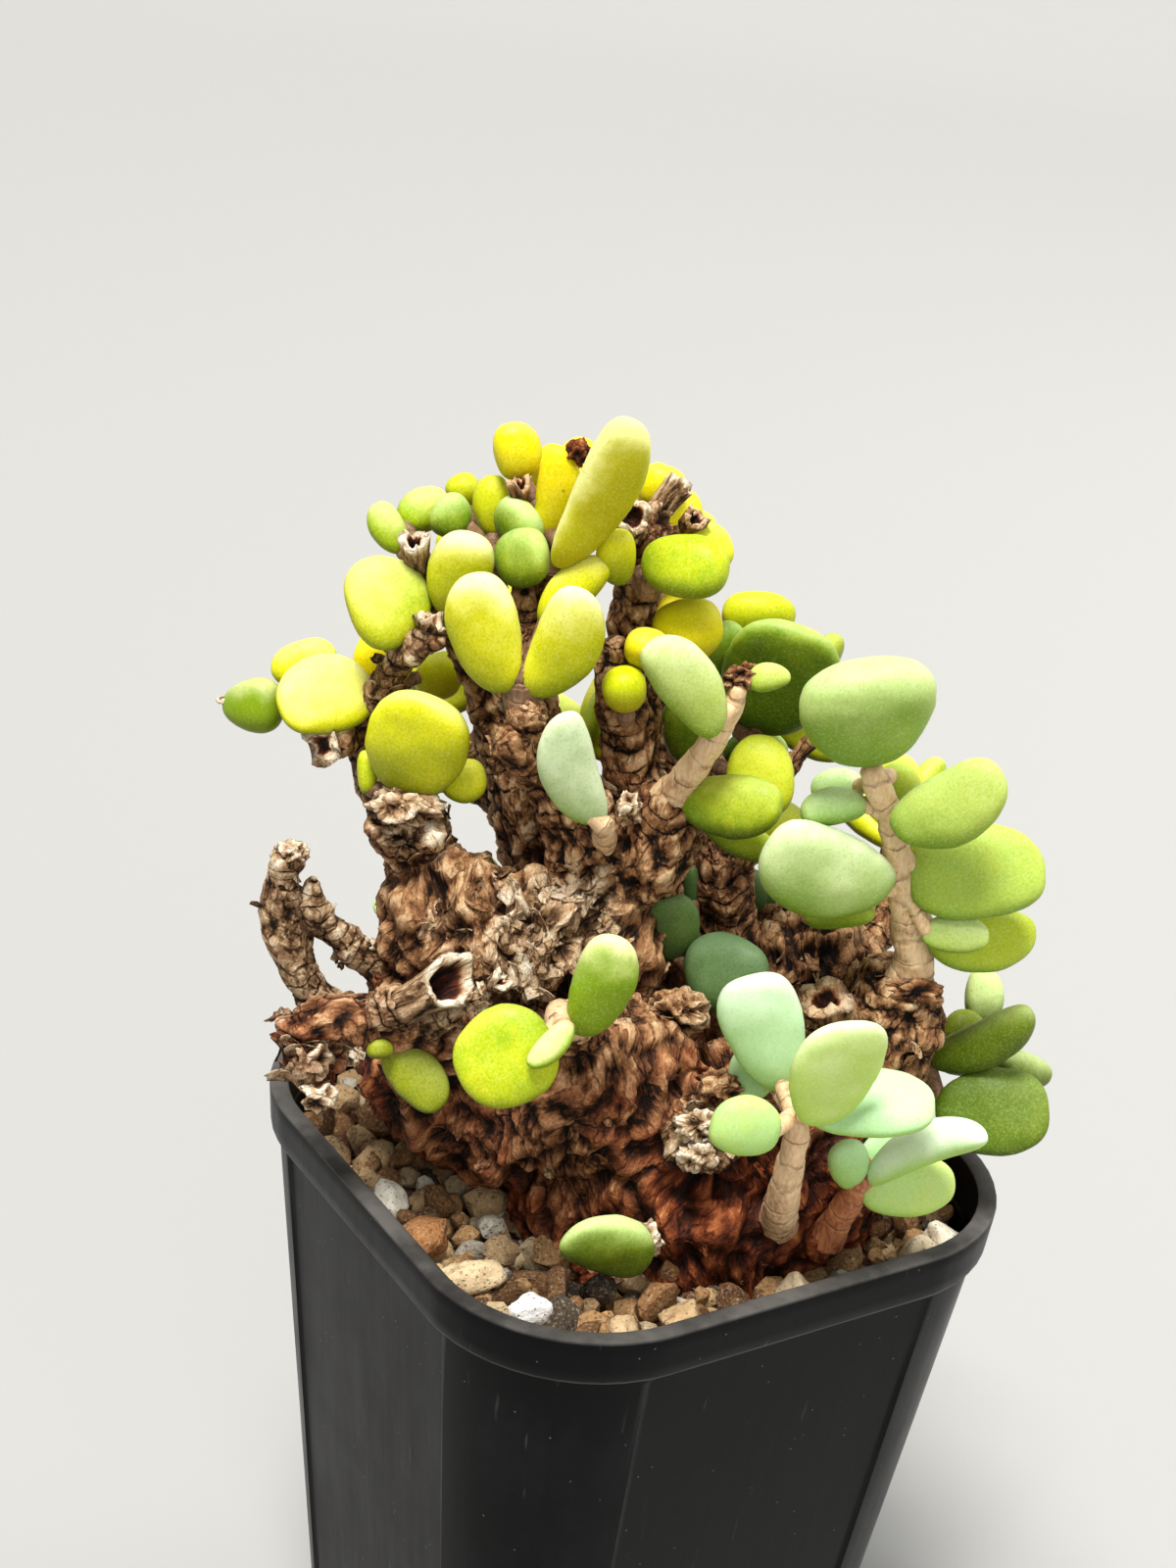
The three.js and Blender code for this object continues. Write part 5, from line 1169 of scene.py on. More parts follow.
@dataclass
class Caudex:
    """The swollen woody base with its old limbs, grown as one piece."""

    voxel: float = 0.56
    limb_sides: int = 22
    limb_step: float = 1.0
    soften: int = 6
    batch: int = 4000
    flakes: int = 620
    seed: int = 5
    courses: dict[str, Course] = field(default_factory=dict)
    flaky: Array | None = None

    def build(self) -> Piece:
        """Builds the caudex.

        Returns:
            The piece.
        """
        self.courses = {name: limb_course(name, self.limb_step) for name in LIMBS}
        for stub in STUBS:
            if stub.name in self.courses:
                self.courses[stub.name].cut_back(stub.depth + STUB_OVERLAP)
        bm = bmesh.new()
        for centre, half in LUMPS.values():
            self._lump(bm, centre, half)
        for course in self.courses.values():
            course.tube(bm, self.limb_sides, course.radius)
        piece = settled(bm, "caudex_bark", PLANT_PLACE)
        skin = piece.modifiers.new("Skin", "REMESH")
        skin.mode = "VOXEL"
        skin.voxel_size = self.voxel * MM
        soften = piece.modifiers.new("Soften", "SMOOTH")
        soften.iterations = self.soften
        soften.factor = 0.5
        baked(piece)
        self._gnarl(piece.data)
        piece.data.shade_smooth()
        material = BarkFinish().material()
        dressed(piece, material, "bark", "caudex")
        dressed(self._flakes(piece), material, "bark", "caudex")
        return piece

    @staticmethod
    def _lump(bm: Form, centre: list[float], half: list[float]) -> None:
        """Adds one knobbly lump."""
        verts = bmesh.ops.create_uvsphere(bm, u_segments=40, v_segments=24, radius=1.0)["verts"]
        ball = points_of(verts)
        x, y, z = ball[:, 0], ball[:, 2], ball[:, 1]
        knob = 1 + 0.05 * np.sin(5 * x + 4 * y + centre[0]) * np.cos(4 * z - 3 * y + centre[1])
        put(verts, np.array(centre) + ball * np.array(half) * knob[:, None])

    def _nearest(self, places: Array) -> tuple[Array, ...]:
        """Finds the limb that each point belongs to.

        Args:
            places: The points, in the plant's layout.

        Returns:
            The gap to the limb's skin, the point in the limb's own grain (two ways across it and one along
            it), the ring count, how pale and how rusty the limb is, and its radius.
        """
        courses = list(self.courses.values())
        spots, radii, ways, normals, binormals = (
            np.concatenate([getattr(course, part) for course in courses]) for part in Course.PARTS[1:]
        )
        arcs = np.concatenate([course.arc + 7.3 * i for i, course in enumerate(courses)])
        sizes = [len(course.arc) for course in courses]
        pitch = np.repeat([0.95 + 0.36 * float(course.radius.mean()) for course in courses], sizes)
        looks = [LIMB_LOOKS.get(name, PLAIN_LIMB) for name in self.courses]
        pales, rusts, _ = np.repeat(looks, sizes, axis=0).T
        best = np.empty(len(places), dtype=int)
        for start in range(0, len(places), self.batch):
            some = slice(start, start + self.batch)
            away = np.linalg.norm(places[some, None, :] - spots[None], axis=2) - radii
            best[some] = np.argmin(away, axis=1)
        off = places - spots[best]
        gap = np.linalg.norm(off, axis=1) - radii[best]
        x, y, past = (np.einsum("ij,ij->i", off, side[best]) for side in (normals, binormals, ways))
        past = past + arcs[best]
        return gap, np.column_stack([x, y, past]), past / pitch[best], pales[best], rusts[best], radii[best]

    def _gnarl(self, mesh: Mesh) -> None:
        """Gives the smooth skin its folds, fibres, rings, pits and colours, with painted shade in its hollows
        and painted light on its ridges.
        """
        places = rows_of(mesh.vertices, "co") / MM
        turn = np.array(PLANT_PLACE.to_3x3())
        spots = (places - np.array(PLANT_PLACE.translation)) @ turn
        facing = rows_of(mesh.vertex_normals, "vector") @ turn
        gap, grain, ring, pale, rust, thick = self._nearest(spots)
        shells = [
            (np.linalg.norm((spots - np.array(centre)) / np.array(half), axis=1) - 1) * min(half)
            for centre, half in LUMPS.values()
        ]
        on_limb = smooth(np.min(shells, axis=0) - gap, -0.5, 1.5)
        strength = 1 - on_limb * (1 - np.clip(thick / 4.2, 0.4, 1))
        x, y, z = spots.T
        swirl = np.sin(np.column_stack([0.34 * z + 0.2 * x, 0.3 * z + 0.25 * y + 1.7, 0.3 * x + 0.2 * y]))
        wood = np.where((on_limb > 0.5)[:, None], grain * (1, 1, 0.62), (spots + 1.7 * swirl) * (1, 1, 0.46))
        folds, fibre, bumps, patch, plates = self._noises(spots, wood)
        pale = pale * on_limb
        rust = np.where(on_limb > 0.5, rust, 0.98 - 0.03 * np.clip(spots[:, 2], 0, 26))
        flaky = np.full(len(spots), 0.12)
        dark, knots, shift = np.zeros((3, len(spots)))
        for area in MARKS:
            away = np.linalg.norm(spots - np.array(area.place), axis=1) / area.radius
            near = 1 - smooth(away + 0.12 * bumps, 0.4, 1.15)
            pale = pale + (area.pale - pale) * near * (area.pale > 0)
            rust = rust + (area.rust - rust) * near * (area.rust > 0)
            flaky = flaky + (area.flaky - flaky) * near * (area.flaky > 0)
            turns = away * area.radius / 1.5 + 0.35 * patch + 0.25 * bumps
            knots = knots + near * area.rings * (0.5 - np.abs(turns % 1.0 - 0.5) * 2)
            sunk = 1 - smooth(away, 0.5, 0.85)
            shift = shift + area.lip * np.exp(-(((away - 0.95) / 0.2) ** 2)) - sunk * area.depth
            # Painted shade: a spot darkens by its dark share, and a pit by its depth.
            dark = dark + near * area.dark + sunk * min(1.0, area.depth * 0.2)
        turns = ring + 0.34 * patch + 0.16 * bumps
        place_in_ring = turns % 1.0
        bulge = 1 - (2 * place_in_ring - 1) ** 6 + 0.25 * place_in_ring
        offset = np.sin(np.floor(turns) * 12.9898) * 0.5 + bumps * 0.25
        collar = on_limb * (bulge * 0.36 + offset * 0.26) * (0.8 + 0.25 * patch)
        relief = (
            collar * (0.35 + 0.65 * strength)
            + folds * (0.1 + 0.6 * flaky) * strength
            + fibre * (0.15 - 0.01 * on_limb) * strength
            - (1 - smooth(plates, 0.02, 0.3)) * 0.32 * (0.35 + 0.65 * on_limb) * strength
            + knots * 0.6
            + (patch * 0.45 + bumps * 0.42 + folds * 0.26) * (1 - 0.8 * on_limb)
        )
        places = places + (facing * (shift + relief)[:, None]) @ turn.T
        mesh.vertices.foreach_set("co", (places * MM).ravel())
        # The height channel is lighter where the skin stands out and darker where it sinks: painted light on
        # ridges and painted shade in hollows.
        height = 0.475 + 0.035 * on_limb + (0.58 + 0.2 * on_limb) * self._standing_out(mesh, relief)
        height = height + 0.03 * fibre - 0.3 * dark
        store(mesh, "bark", "FLOAT_VECTOR", np.column_stack([pale, rust, np.clip(height, 0, 1)]))
        store(mesh, "wood", "FLOAT_VECTOR", wood)
        store(mesh, "ring", "FLOAT", np.where(on_limb > 0.5, turns, 0.5))
        self.flaky = flaky
        mesh.update()

    @staticmethod
    def _standing_out(mesh: Mesh, relief: Array) -> Array:
        """How far each point stands out from those around it, in millimetres, within a third of one."""
        pairs = np.empty(len(mesh.edges) * 2, dtype=np.int32)
        mesh.edges.foreach_get("vertices", pairs)
        first, second = pairs.reshape(-1, 2).T
        links = np.bincount(pairs, minlength=len(relief)).astype(float)
        mean = relief.copy()
        for _ in range(10):
            total = np.bincount(first, mean[second], len(relief))
            mean = (total + np.bincount(second, mean[first], len(relief))) / np.maximum(links, 1)
        return np.clip(relief - mean, -0.34, 0.34)

    @staticmethod
    def _noises(spots: Array, wood: Array) -> tuple[Array, ...]:
        """Samples the noises that the relief is made of, each but the last centred on 0 and scaled alike.

        Args:
            spots: The points, in the plant's layout.
            wood: The same points in the wood's grain.

        Returns:
            Folds, fibres along the grain, bumps and broad patches, and how far each point is from the edge
            of a plate.
        """
        noise.seed_set(NOISE_SEED)
        found = np.empty((len(spots), 4))
        plates = np.empty(len(spots))
        for i, (place, along) in enumerate(zip(map(Vector, spots), map(Vector, wood))):
            flow = place + noise.noise_vector(place * 0.13) * 3.0
            tall = Vector((flow.x, flow.y, flow.z * 0.7)) * 0.17
            strand = along * 0.6 + noise.noise_vector(place * 0.2) * 0.3
            found[i] = (
                noise.ridged_multi_fractal(tall, 1.1, 2.1, 3, 1.0, 2.0),
                noise.ridged_multi_fractal(strand, 0.9, 2.1, 2, 1.0, 2.0),
                noise.noise(place * 0.34 + Vector((3, 8, 5))),
                noise.noise(place * 0.14 + Vector((9, 4, 2))),
            )
            near = noise.voronoi(along * 0.42 + noise.noise_vector(place * 0.35) * 0.5)[0]
            plates[i] = near[1] - near[0]
        found = (found - found.mean(axis=0)) / found.std(axis=0)
        return (*np.clip(found, -2.2, 2.2).T, plates)

    def _flakes(self, piece: Piece) -> Piece:
        """Builds small curled flakes that stand off the caudex, mostly where it is pale or peels.

        Args:
            piece: The caudex.

        Returns:
            The flakes, as a piece of their own.
        """
        draw = random.Random(self.seed)
        mesh = piece.data
        spots = rows_of(mesh.vertices, "co") / MM
        normals = rows_of(mesh.vertex_normals, "vector")
        bark = rows_of(mesh.attributes["bark"].data, "vector")
        weight = 0.05 + self.flaky**2 + 0.15 * bark[:, 0] ** 2
        weight[spots[:, 2] < POT_HEIGHT - BED_BELOW_RIM] = 0
        total = np.cumsum(weight)
        bm = form_with("bark", "wood")
        for _ in range(self.flakes):
            at = int(np.searchsorted(total, draw.random() * total[-1]))
            tone = (min(1.0, bark[at, 0] + draw.uniform(-0.1, 0.5)), bark[at, 1], draw.uniform(0.4, 0.75))
            size = draw.uniform(0.45, 1.0) * (1 + 0.9 * float(self.flaky[at]))
            add_flake(bm, Vector(spots[at]), Vector(normals[at]), size, tone, draw)
        without_rings(bm)
        return settled(bm, "bark_flakes", Matrix.Identity(4))


def add_flake(
    bm: Form, place: Vector, normal: Vector, size: float, tone: tuple[float, float, float],
    draw: random.Random,
) -> None:
    """Adds one thin curled flake of bark that is held at one edge.

    Args:
        bm: The form to add to.
        place: Where it sits.
        normal: Which way is out there.
        size: Half its length.
        tone: Its bark attribute.
        draw: The seeded draws.
    """
    verts = bmesh.ops.create_grid(bm, x_segments=4, y_segments=2, size=1.0)["verts"]
    flat = points_of(verts)
    phase = draw.uniform(0, 6.28)
    curl = draw.uniform(0.3, 0.9)
    breadth = draw.uniform(0.35, 0.75) * (1 - 0.35 * flat[:, 0] ** 2 + 0.2 * np.sin(3 * flat[:, 0] + phase))
    form = np.column_stack([
        flat[:, 0] * size,
        flat[:, 1] * size * breadth,
        (curl * (flat[:, 0] + 0.7) ** 2 * 0.35 + 0.2 * flat[:, 1] ** 2 * curl) * size - 0.1,
    ])
    way = normal + Vector([draw.uniform(-0.35, 0.35) for _ in range(3)])
    turn = way.to_track_quat("Z", "X").to_matrix() @ Matrix.Rotation(draw.uniform(0, 6.28), 3, "Z")
    put(verts, form @ np.array(turn).T + np.array(place))
    faces = list(dict.fromkeys(face for vert in verts for face in vert.link_faces))
    thick = bmesh.ops.solidify(bm, geom=faces, thickness=FLAKE_THICKNESS)["geom"]
    made = verts + [item for item in thick if isinstance(item, bmesh.types.BMVert)]
    mark(bm, "bark", made, tone)
    mark(bm, "wood", made, points_of(made) @ np.diag([1.0, 1.0, 0.5]))


def without_rings(bm: Form) -> None:
    """Marks a form of bark as having no rings."""
    layer = bm.verts.layers.float.new("ring")
    for vert in bm.verts:
        vert[layer] = 0.5


@dataclass
class BrokenStub:
    """The broken end of an old limb: a torn hollow rim of pale wood round a dark rusty core, darker down the
    hollow as painted shade.
    """

    name: str
    depth: float = 2.6
    wall: float = 0.5
    flare: float = 0.35
    sides: int = 26
    pale: float = 0.9
    slant: float = 0.0

    def add(self, bm: Form) -> None:
        """Adds the stub: a skin that climbs the limb's end, turns in at the torn rim and goes down inside.

        Args:
            bm: The form to add to.
        """
        own = STUB_WOOD.get(self.name)
        course = Course(own, STUB_STEP) if own else limb_course(self.name, STUB_STEP)
        climb = np.flatnonzero(course.arc > course.length - self.depth * 1.5)
        down = climb[course.arc[climb] > course.length - self.depth][::-1]
        order = np.concatenate([climb, down])
        seed = sum(map(ord, self.name)) * 0.37
        angle = np.arange(self.sides) * 2 * math.pi / self.sides
        tear = 0.5 * np.sin(2 * angle + seed) + 0.35 * np.sin(5 * angle + 2 * seed) + 0.2 * np.sin(9 * angle)
        share = np.concatenate([np.linspace(0, 1, len(climb)), np.linspace(1, 0, len(down))])
        outer = np.concatenate([np.ones(len(climb)), np.zeros(len(down))])
        radius = course.radius[order] * (1 + 0.1 * share**2) + 0.1 + self.flare * share**3 * outer
        radius = np.where(outer > 0, radius, (radius - self.wall) * (0.55 + 0.45 * share))
        ripple = 1 + 0.06 * np.sin(4 * angle[None] + seed + share[:, None] * 2)
        reach = radius[:, None] * ripple
        rows = len(order)
        verts, row, side, turn = drawn_ball(bm, self.sides, rows)
        at = np.clip(row - 1, 0, rows - 1)
        pole = (row == 0) | (row == rows + 1)
        station = order[at]
        out = np.where(pole, 0.0, reach[at, side])
        unit, still = np.ones(len(turn)), np.zeros(len(turn))
        outward = course.around(station, turn, unit, still) - course.place[station]
        lift = (tear[side] * 0.9 - self.slant * (outward @ np.array(FRONT))) * share[at] ** 3 * ~pole
        put(verts, course.around(station, turn, out, lift))
        inside = 1 - outer[at]
        rim = smooth(share[at], 0.7, 1.0)
        # Inside, the rust is the core's own colour, and the lower height down the hollow is painted shade.
        tones = np.column_stack([
            self.pale * (1 - inside * (1 - rim)),
            np.clip(0.3 + 1.2 * inside * (1 - rim), 0, 1),
            0.48 + 0.32 * rim - 0.24 * inside * (1 - rim) + 0.1 * np.sin(7 * turn + 3 * share[at]),
        ])
        mark(bm, "bark", verts, tones)
        grain = np.column_stack([out * np.cos(turn), out * np.sin(turn), course.arc[station] * 0.3])
        mark(bm, "wood", verts, grain)


def add_husk(
    bm: Form, place: Place, size: Place, pale: float, rust: float,
) -> None:
    """Adds one crumpled bit of dry skin.

    Args:
        bm: The form to add to.
        place: Its middle.
        size: Half its size each way.
        pale: How pale it is.
        rust: How rusty it is.
    """
    verts = bmesh.ops.create_icosphere(bm, subdivisions=4, radius=1.0)["verts"]
    ball = points_of(verts)
    spots = [Vector(spot) * 0.9 + Vector(place) for spot in ball]
    crease = np.array([noise.ridged_multi_fractal(spot, 1.0, 2.2, 4, 1.0, 2.0) for spot in spots])
    crease = (crease - crease.mean()) / crease.std()
    put(verts, np.array(place) + ball * (0.92 + 0.2 * np.clip(crease, -2, 2))[:, None] * np.array(size))
    # The height channel follows the crumples, lighter on their ridges and darker in their creases: painted
    # light and shade.
    tones = np.column_stack([
        np.full(len(ball), pale), np.full(len(ball), rust), np.clip(0.48 + 0.1 * pale + 0.2 * crease, 0, 1),
    ])
    mark(bm, "bark", verts, tones)
    mark(bm, "wood", verts, ball * np.array(size))


STUBS: list[BrokenStub] = [
    BrokenStub("low_limb_stub", depth=4.6, flare=0.3, pale=1.0, slant=2.3, wall=0.55),
    BrokenStub("low_limb_spur", depth=1.2, flare=0.3),
    BrokenStub("pale_fork_left", depth=1.8, flare=0.2, pale=0.6),
    BrokenStub("pale_fork_right", depth=2.6, flare=0.2, pale=0.75),
    BrokenStub("pale_spur", depth=1.4, flare=0.2, pale=0.4),
    BrokenStub("left_tip", depth=0.7, flare=0.2, pale=0.6, wall=0.9),
    BrokenStub("right_inner_stub", depth=1.0, flare=0.3, pale=0.35, wall=1.2),
    BrokenStub("left_stub", depth=0.9, flare=0.3, pale=0.6, wall=1.0),
    BrokenStub("grey_stub", depth=3.4, flare=0.0, pale=0.6, wall=0.8),
    BrokenStub("dark_stub", depth=2.8, flare=0.05, pale=0.2),
]


def broken_stubs(material: Material) -> None:
    """Builds the broken limb ends and dry husks, as one piece that belongs to the caudex."""
    bm = form_with("bark", "wood")
    for stub in STUBS:
        stub.add(bm)
    for husk in HUSKS:
        add_husk(bm, *husk)
    without_rings(bm)
    piece = settled(bm, "broken_stubs", PLANT_PLACE)
    dressed(piece, material, "bark", "caudex")


@dataclass
class LeafyShoot:
    """One young twig with its plump leaves."""

    name: str
    shoot: Shoot
    leaf_sides: int = 36
    leaf_rings: int = 26
    twig_sides: int = 18
    twig_step: float = 0.35
    twig_slimness: float = 0.78
    spur_radius: float = 0.85
    spur_from: float = 1.2

    def build(self, leaf_material: Material, twig_material: Material) -> None:
        """Builds the leaves and the twig as two pieces that stand for the shoot's solid.

        Args:
            leaf_material: The leaves' finish.
            twig_material: The twig's finish.
        """
        bm = form_with("leaf")
        for number, row in enumerate(self.shoot.leaves):
            self._leaf(bm, number, row)
        leaves = settled(bm, f"leaves_{self.name}", PLANT_PLACE)
        node = f"shoot_{self.name}"
        dressed(leaves, leaf_material, self.shoot.tone.value, node)
        dressed(self._twig(), twig_material, "bark", node)

    def _leaf(self, bm: Form, number: int, row: list[float]) -> None:
        """Adds one leaf: a sphere drawn out from its foot to its tip, narrower at the foot and bowed back.

        Args:
            bm: The form to add to.
            number: The leaf's number on its shoot.
            row: The leaf's row of the table.
        """
        foot, tip = Vector(row[1:4]), Vector(row[4:7])
        width, thickness, turn = row[7:]
        length = (tip - foot).length
        along = (tip - foot) / length
        front = (LEAF_FRONT - along * LEAF_FRONT.dot(along)).normalized()
        face = Matrix.Rotation(math.radians(turn), 3, along) @ front
        side = face.cross(along)
        verts = bmesh.ops.create_uvsphere(
            bm, u_segments=self.leaf_sides, v_segments=self.leaf_rings, radius=1.0,
        )["verts"]
        ball = points_of(verts)
        chance = math.sin(tip.x * 12.9 + tip.y * 78.2 + tip.z * 37.7) * CHANCE_SPREAD % 1.0
        share = (ball[:, 2] + 1) / 2
        girth = np.hypot(ball[:, 0], ball[:, 1])
        angle = np.arctan2(ball[:, 1], ball[:, 0])
        plain = (0.05 * math.sin(40 * chance), 0.06 * math.sin(23 * chance), 0.3)
        bend, wedge, square = LEAF_FORMS.get(self.name, {}).get(number, plain)
        bend = bend * (1.0 if side.x * 0.8 + side.z * 0.6 > 0 else -1.0)
        pillow = (np.abs(np.cos(angle)) ** PILLOW + np.abs(np.sin(angle)) ** PILLOW) ** (-1 / PILLOW)
        blunt = LEAF_BLUNT - 0.16 * square
        swell = np.maximum(0.02, girth) ** (blunt - 1) * (LEAF_FOOT + (1 - LEAF_FOOT) * share * (2 - share))
        swell = swell * pillow * (1 - 0.03 * square) * (1 + wedge * (2 * share - 1))
        swell = swell * (1 + 0.02 * np.sin(2 * angle + 6.28 * chance) * girth)
        bow = LEAF_BOW * length * share * (1 - share)
        places = (
            np.array(foot)
            + np.outer(share * length, along)
            + np.outer(ball[:, 0] * width / 2 * swell, side)
            + np.outer(bend * length * (4 * share * (1 - share) - 0.5), side)
            + np.outer(ball[:, 1] * thickness / 2 * swell - bow, face)
        )
        spots = list(map(Vector, places))
        dent = np.array([noise.noise(spot * 0.22) + 0.35 * noise.noise(spot * 0.7) for spot in spots])
        out = np.outer(ball[:, 0] * thickness, side) + np.outer(ball[:, 1] * width, face)
        out = out / np.maximum(1e-6, np.linalg.norm(out, axis=1, keepdims=True))
        put(verts, places + out * (dent * 0.028 * width * girth)[:, None])
        looks = LOOKS.get(self.name, [])
        yellow, bloom_and_highlight = looks[number] if number < len(looks) else (0.3 + 0.5 * chance, 0.3)
        facts = np.column_stack([share, np.full(len(share), yellow), np.full(len(share), bloom_and_highlight)])
        mark(bm, "leaf", verts, facts)

    def _tube(self, bm: Form, points: Table, slimness: float) -> None:
        """Adds one tube of young wood: old leaf scars in rings along a tapering, uneven stem."""
        course = Course(points, self.twig_step)
        phase = course.place[0, 0] * 3.1
        pitch = 2.0 + 0.4 * float(course.radius.mean())
        drift = np.array([noise.noise(Vector(spot) * 0.35) for spot in course.place])
        ring = course.arc / pitch + 0.8 * drift + phase
        collar = ring % 1.0
        sides = np.arange(self.twig_sides) * 2 * math.pi / self.twig_sides
        uneven = 1 + 0.045 * np.sin(2 * sides[None] + 1.3 * course.arc[:, None] + phase)
        uneven = uneven + 0.02 * np.sin(5 * sides[None] - 2.1 * course.arc[:, None])
        flare = 1 + 0.3 * np.exp(-course.arc / 1.6)
        radius = (course.radius * slimness * flare * (1 + 0.07 * collar**2) - 0.05)[:, None] * uneven
        radius[-1] *= 0.8
        verts, station = course.tube(bm, self.twig_sides, radius, cap=0.3)
        share = station / (len(course.arc) - 1)
        mark(bm, "twig", verts, np.column_stack([share, ring[station], np.zeros(len(station))]))

    def _twig(self) -> Piece:
        """The shoot's twig, with a spur for each leaf whose foot stands off from it."""
        bm = form_with("twig")
        self._tube(bm, self.shoot.stem, self.twig_slimness)
        for row in self.shoot.leaves:
            knot, foot, tip = Vector(self.shoot.stem[int(row[0])][:3]), Vector(row[1:4]), Vector(row[4:7])
            if (foot - knot).length > self.spur_from:
                end = foot.lerp(tip, 0.1)
                self._tube(bm, [[*knot, self.spur_radius * 1.2], [*end, self.spur_radius]], 1.0)
        return settled(bm, f"twig_{self.name}", PLANT_PLACE)


def far_leaves(stem: Table, count: int, size: float) -> Table:
    """A far shoot's leaves, by the rule that its solid follows.

    Args:
        stem: The stem's points.
        count: How many leaves it has.
        size: Their middling length.

    Returns:
        The leaves in the form of the listed ones.
    """
    top = Vector(stem[-1][:3])
    up = (top - Vector(stem[0][:3])).normalized()
    across = (Vector((1, 0, 0)) - up * up.x).normalized()
    rows = []
    for k in range(count):
        lean = math.radians(FAR_LEAN[0] + (FAR_LEAN[1] - FAR_LEAN[0]) * k / (count - 1))
        length = size * (0.9 + 0.16 * math.sin(2.3 * k))
        along = Matrix.Rotation(k * GOLDEN_ANGLE, 3, up) @ across * math.sin(lean) + up * math.cos(lean)
        foot, tip = top - along * LEAF_SINK, top + along * length
        turn = 90 * math.sin(k * GOLDEN_ANGLE)
        rows.append([len(stem) - 1, *foot, *tip, length * FAR_LEAF_WIDTH, length * FAR_LEAF_THICKNESS, turn])
    return rows


def wall_at(z: float, inset: float) -> tuple[float, float]:
    """The side and corner radius of the pot's wall at a height, less an inset."""
    share = z / (POT_HEIGHT - RIM_BAND)
    side = POT_FOOT + (POT_SIDE - 2 * RIM_STEP - POT_FOOT) * share
    corner = FOOT_CORNER + (RIM_CORNER - RIM_STEP - FOOT_CORNER) * share
    return side - 2 * inset, corner - inset


def round_square(side: float, corner: float, panel: float = 0.0) -> Array:
    """The outline of a square with rounded corners, and with its sides' middles set in.

    Args:
        side: Flat to flat.
        corner: The corners' radius.
        panel: How far the middle of each side is set in.

    Returns:
        The outline's points, one row each, always as many.
    """
    flat = side / 2 - corner
    spread = 2.0
    ends = [math.asin(min(1.0, reach / corner)) for reach in (0.0, 1.3, spread - 0.25, spread + 0.25, 2.9)]
    arc = ends + [ends[-1] + (math.pi / 4 - ends[-1]) * k / 5 for k in range(1, 6)]
    half = [(flat + corner * math.cos(a), flat + corner * math.sin(a)) for a in arc]
    middles = [(side / 2, flat * k / 4) for k in range(-3, 4)]
    quarter = [(x, -y) for x, y in reversed(half[:-1])] + middles + half
    limit = flat + spread
    quarter = [(min(x, side / 2 - panel) if abs(y) < limit else x, y) for x, y in quarter]
    outline = []
    for turn in range(4):
        cos, sin = round(math.cos(turn * math.pi / 2)), round(math.sin(turn * math.pi / 2))
        outline += [(x * cos - y * sin, x * sin + y * cos) for x, y in quarter]
    return np.array(outline)


def outline_at(z: float, side: float, corner: float, reach: float, panel: float = 0.0) -> Array:
    """A square outline at a height, shrunk to a share of its reach."""
    outline = round_square(side, corner, panel) * reach
    return np.column_stack([outline, np.full(len(outline), z)])


def loft(bm: Form, rows: list[Array]) -> Verts:
    """Adds a closed skin through outlines of as many points each: a grid that is wrapped round them.

    Args:
        bm: The form to add to.
        rows: The outlines as (n, 3) places. The first and last may be one point repeated.

    Returns:
        The skin's vertices.
    """
    count = len(rows[0])
    stack = np.array(rows)
    grid = bmesh.ops.create_grid(bm, x_segments=count, y_segments=len(rows) - 1, size=1.0)["verts"]
    flat = points_of(grid)
    column = np.rint((flat[:, 0] + 1) / 2 * count).astype(int) % count
    row = np.rint((flat[:, 1] + 1) / 2 * (len(rows) - 1)).astype(int)
    put(grid, stack[row, column])
    bmesh.ops.remove_doubles(bm, verts=grid, dist=TOUCHING)
    return [vert for vert in grid if vert.is_valid]


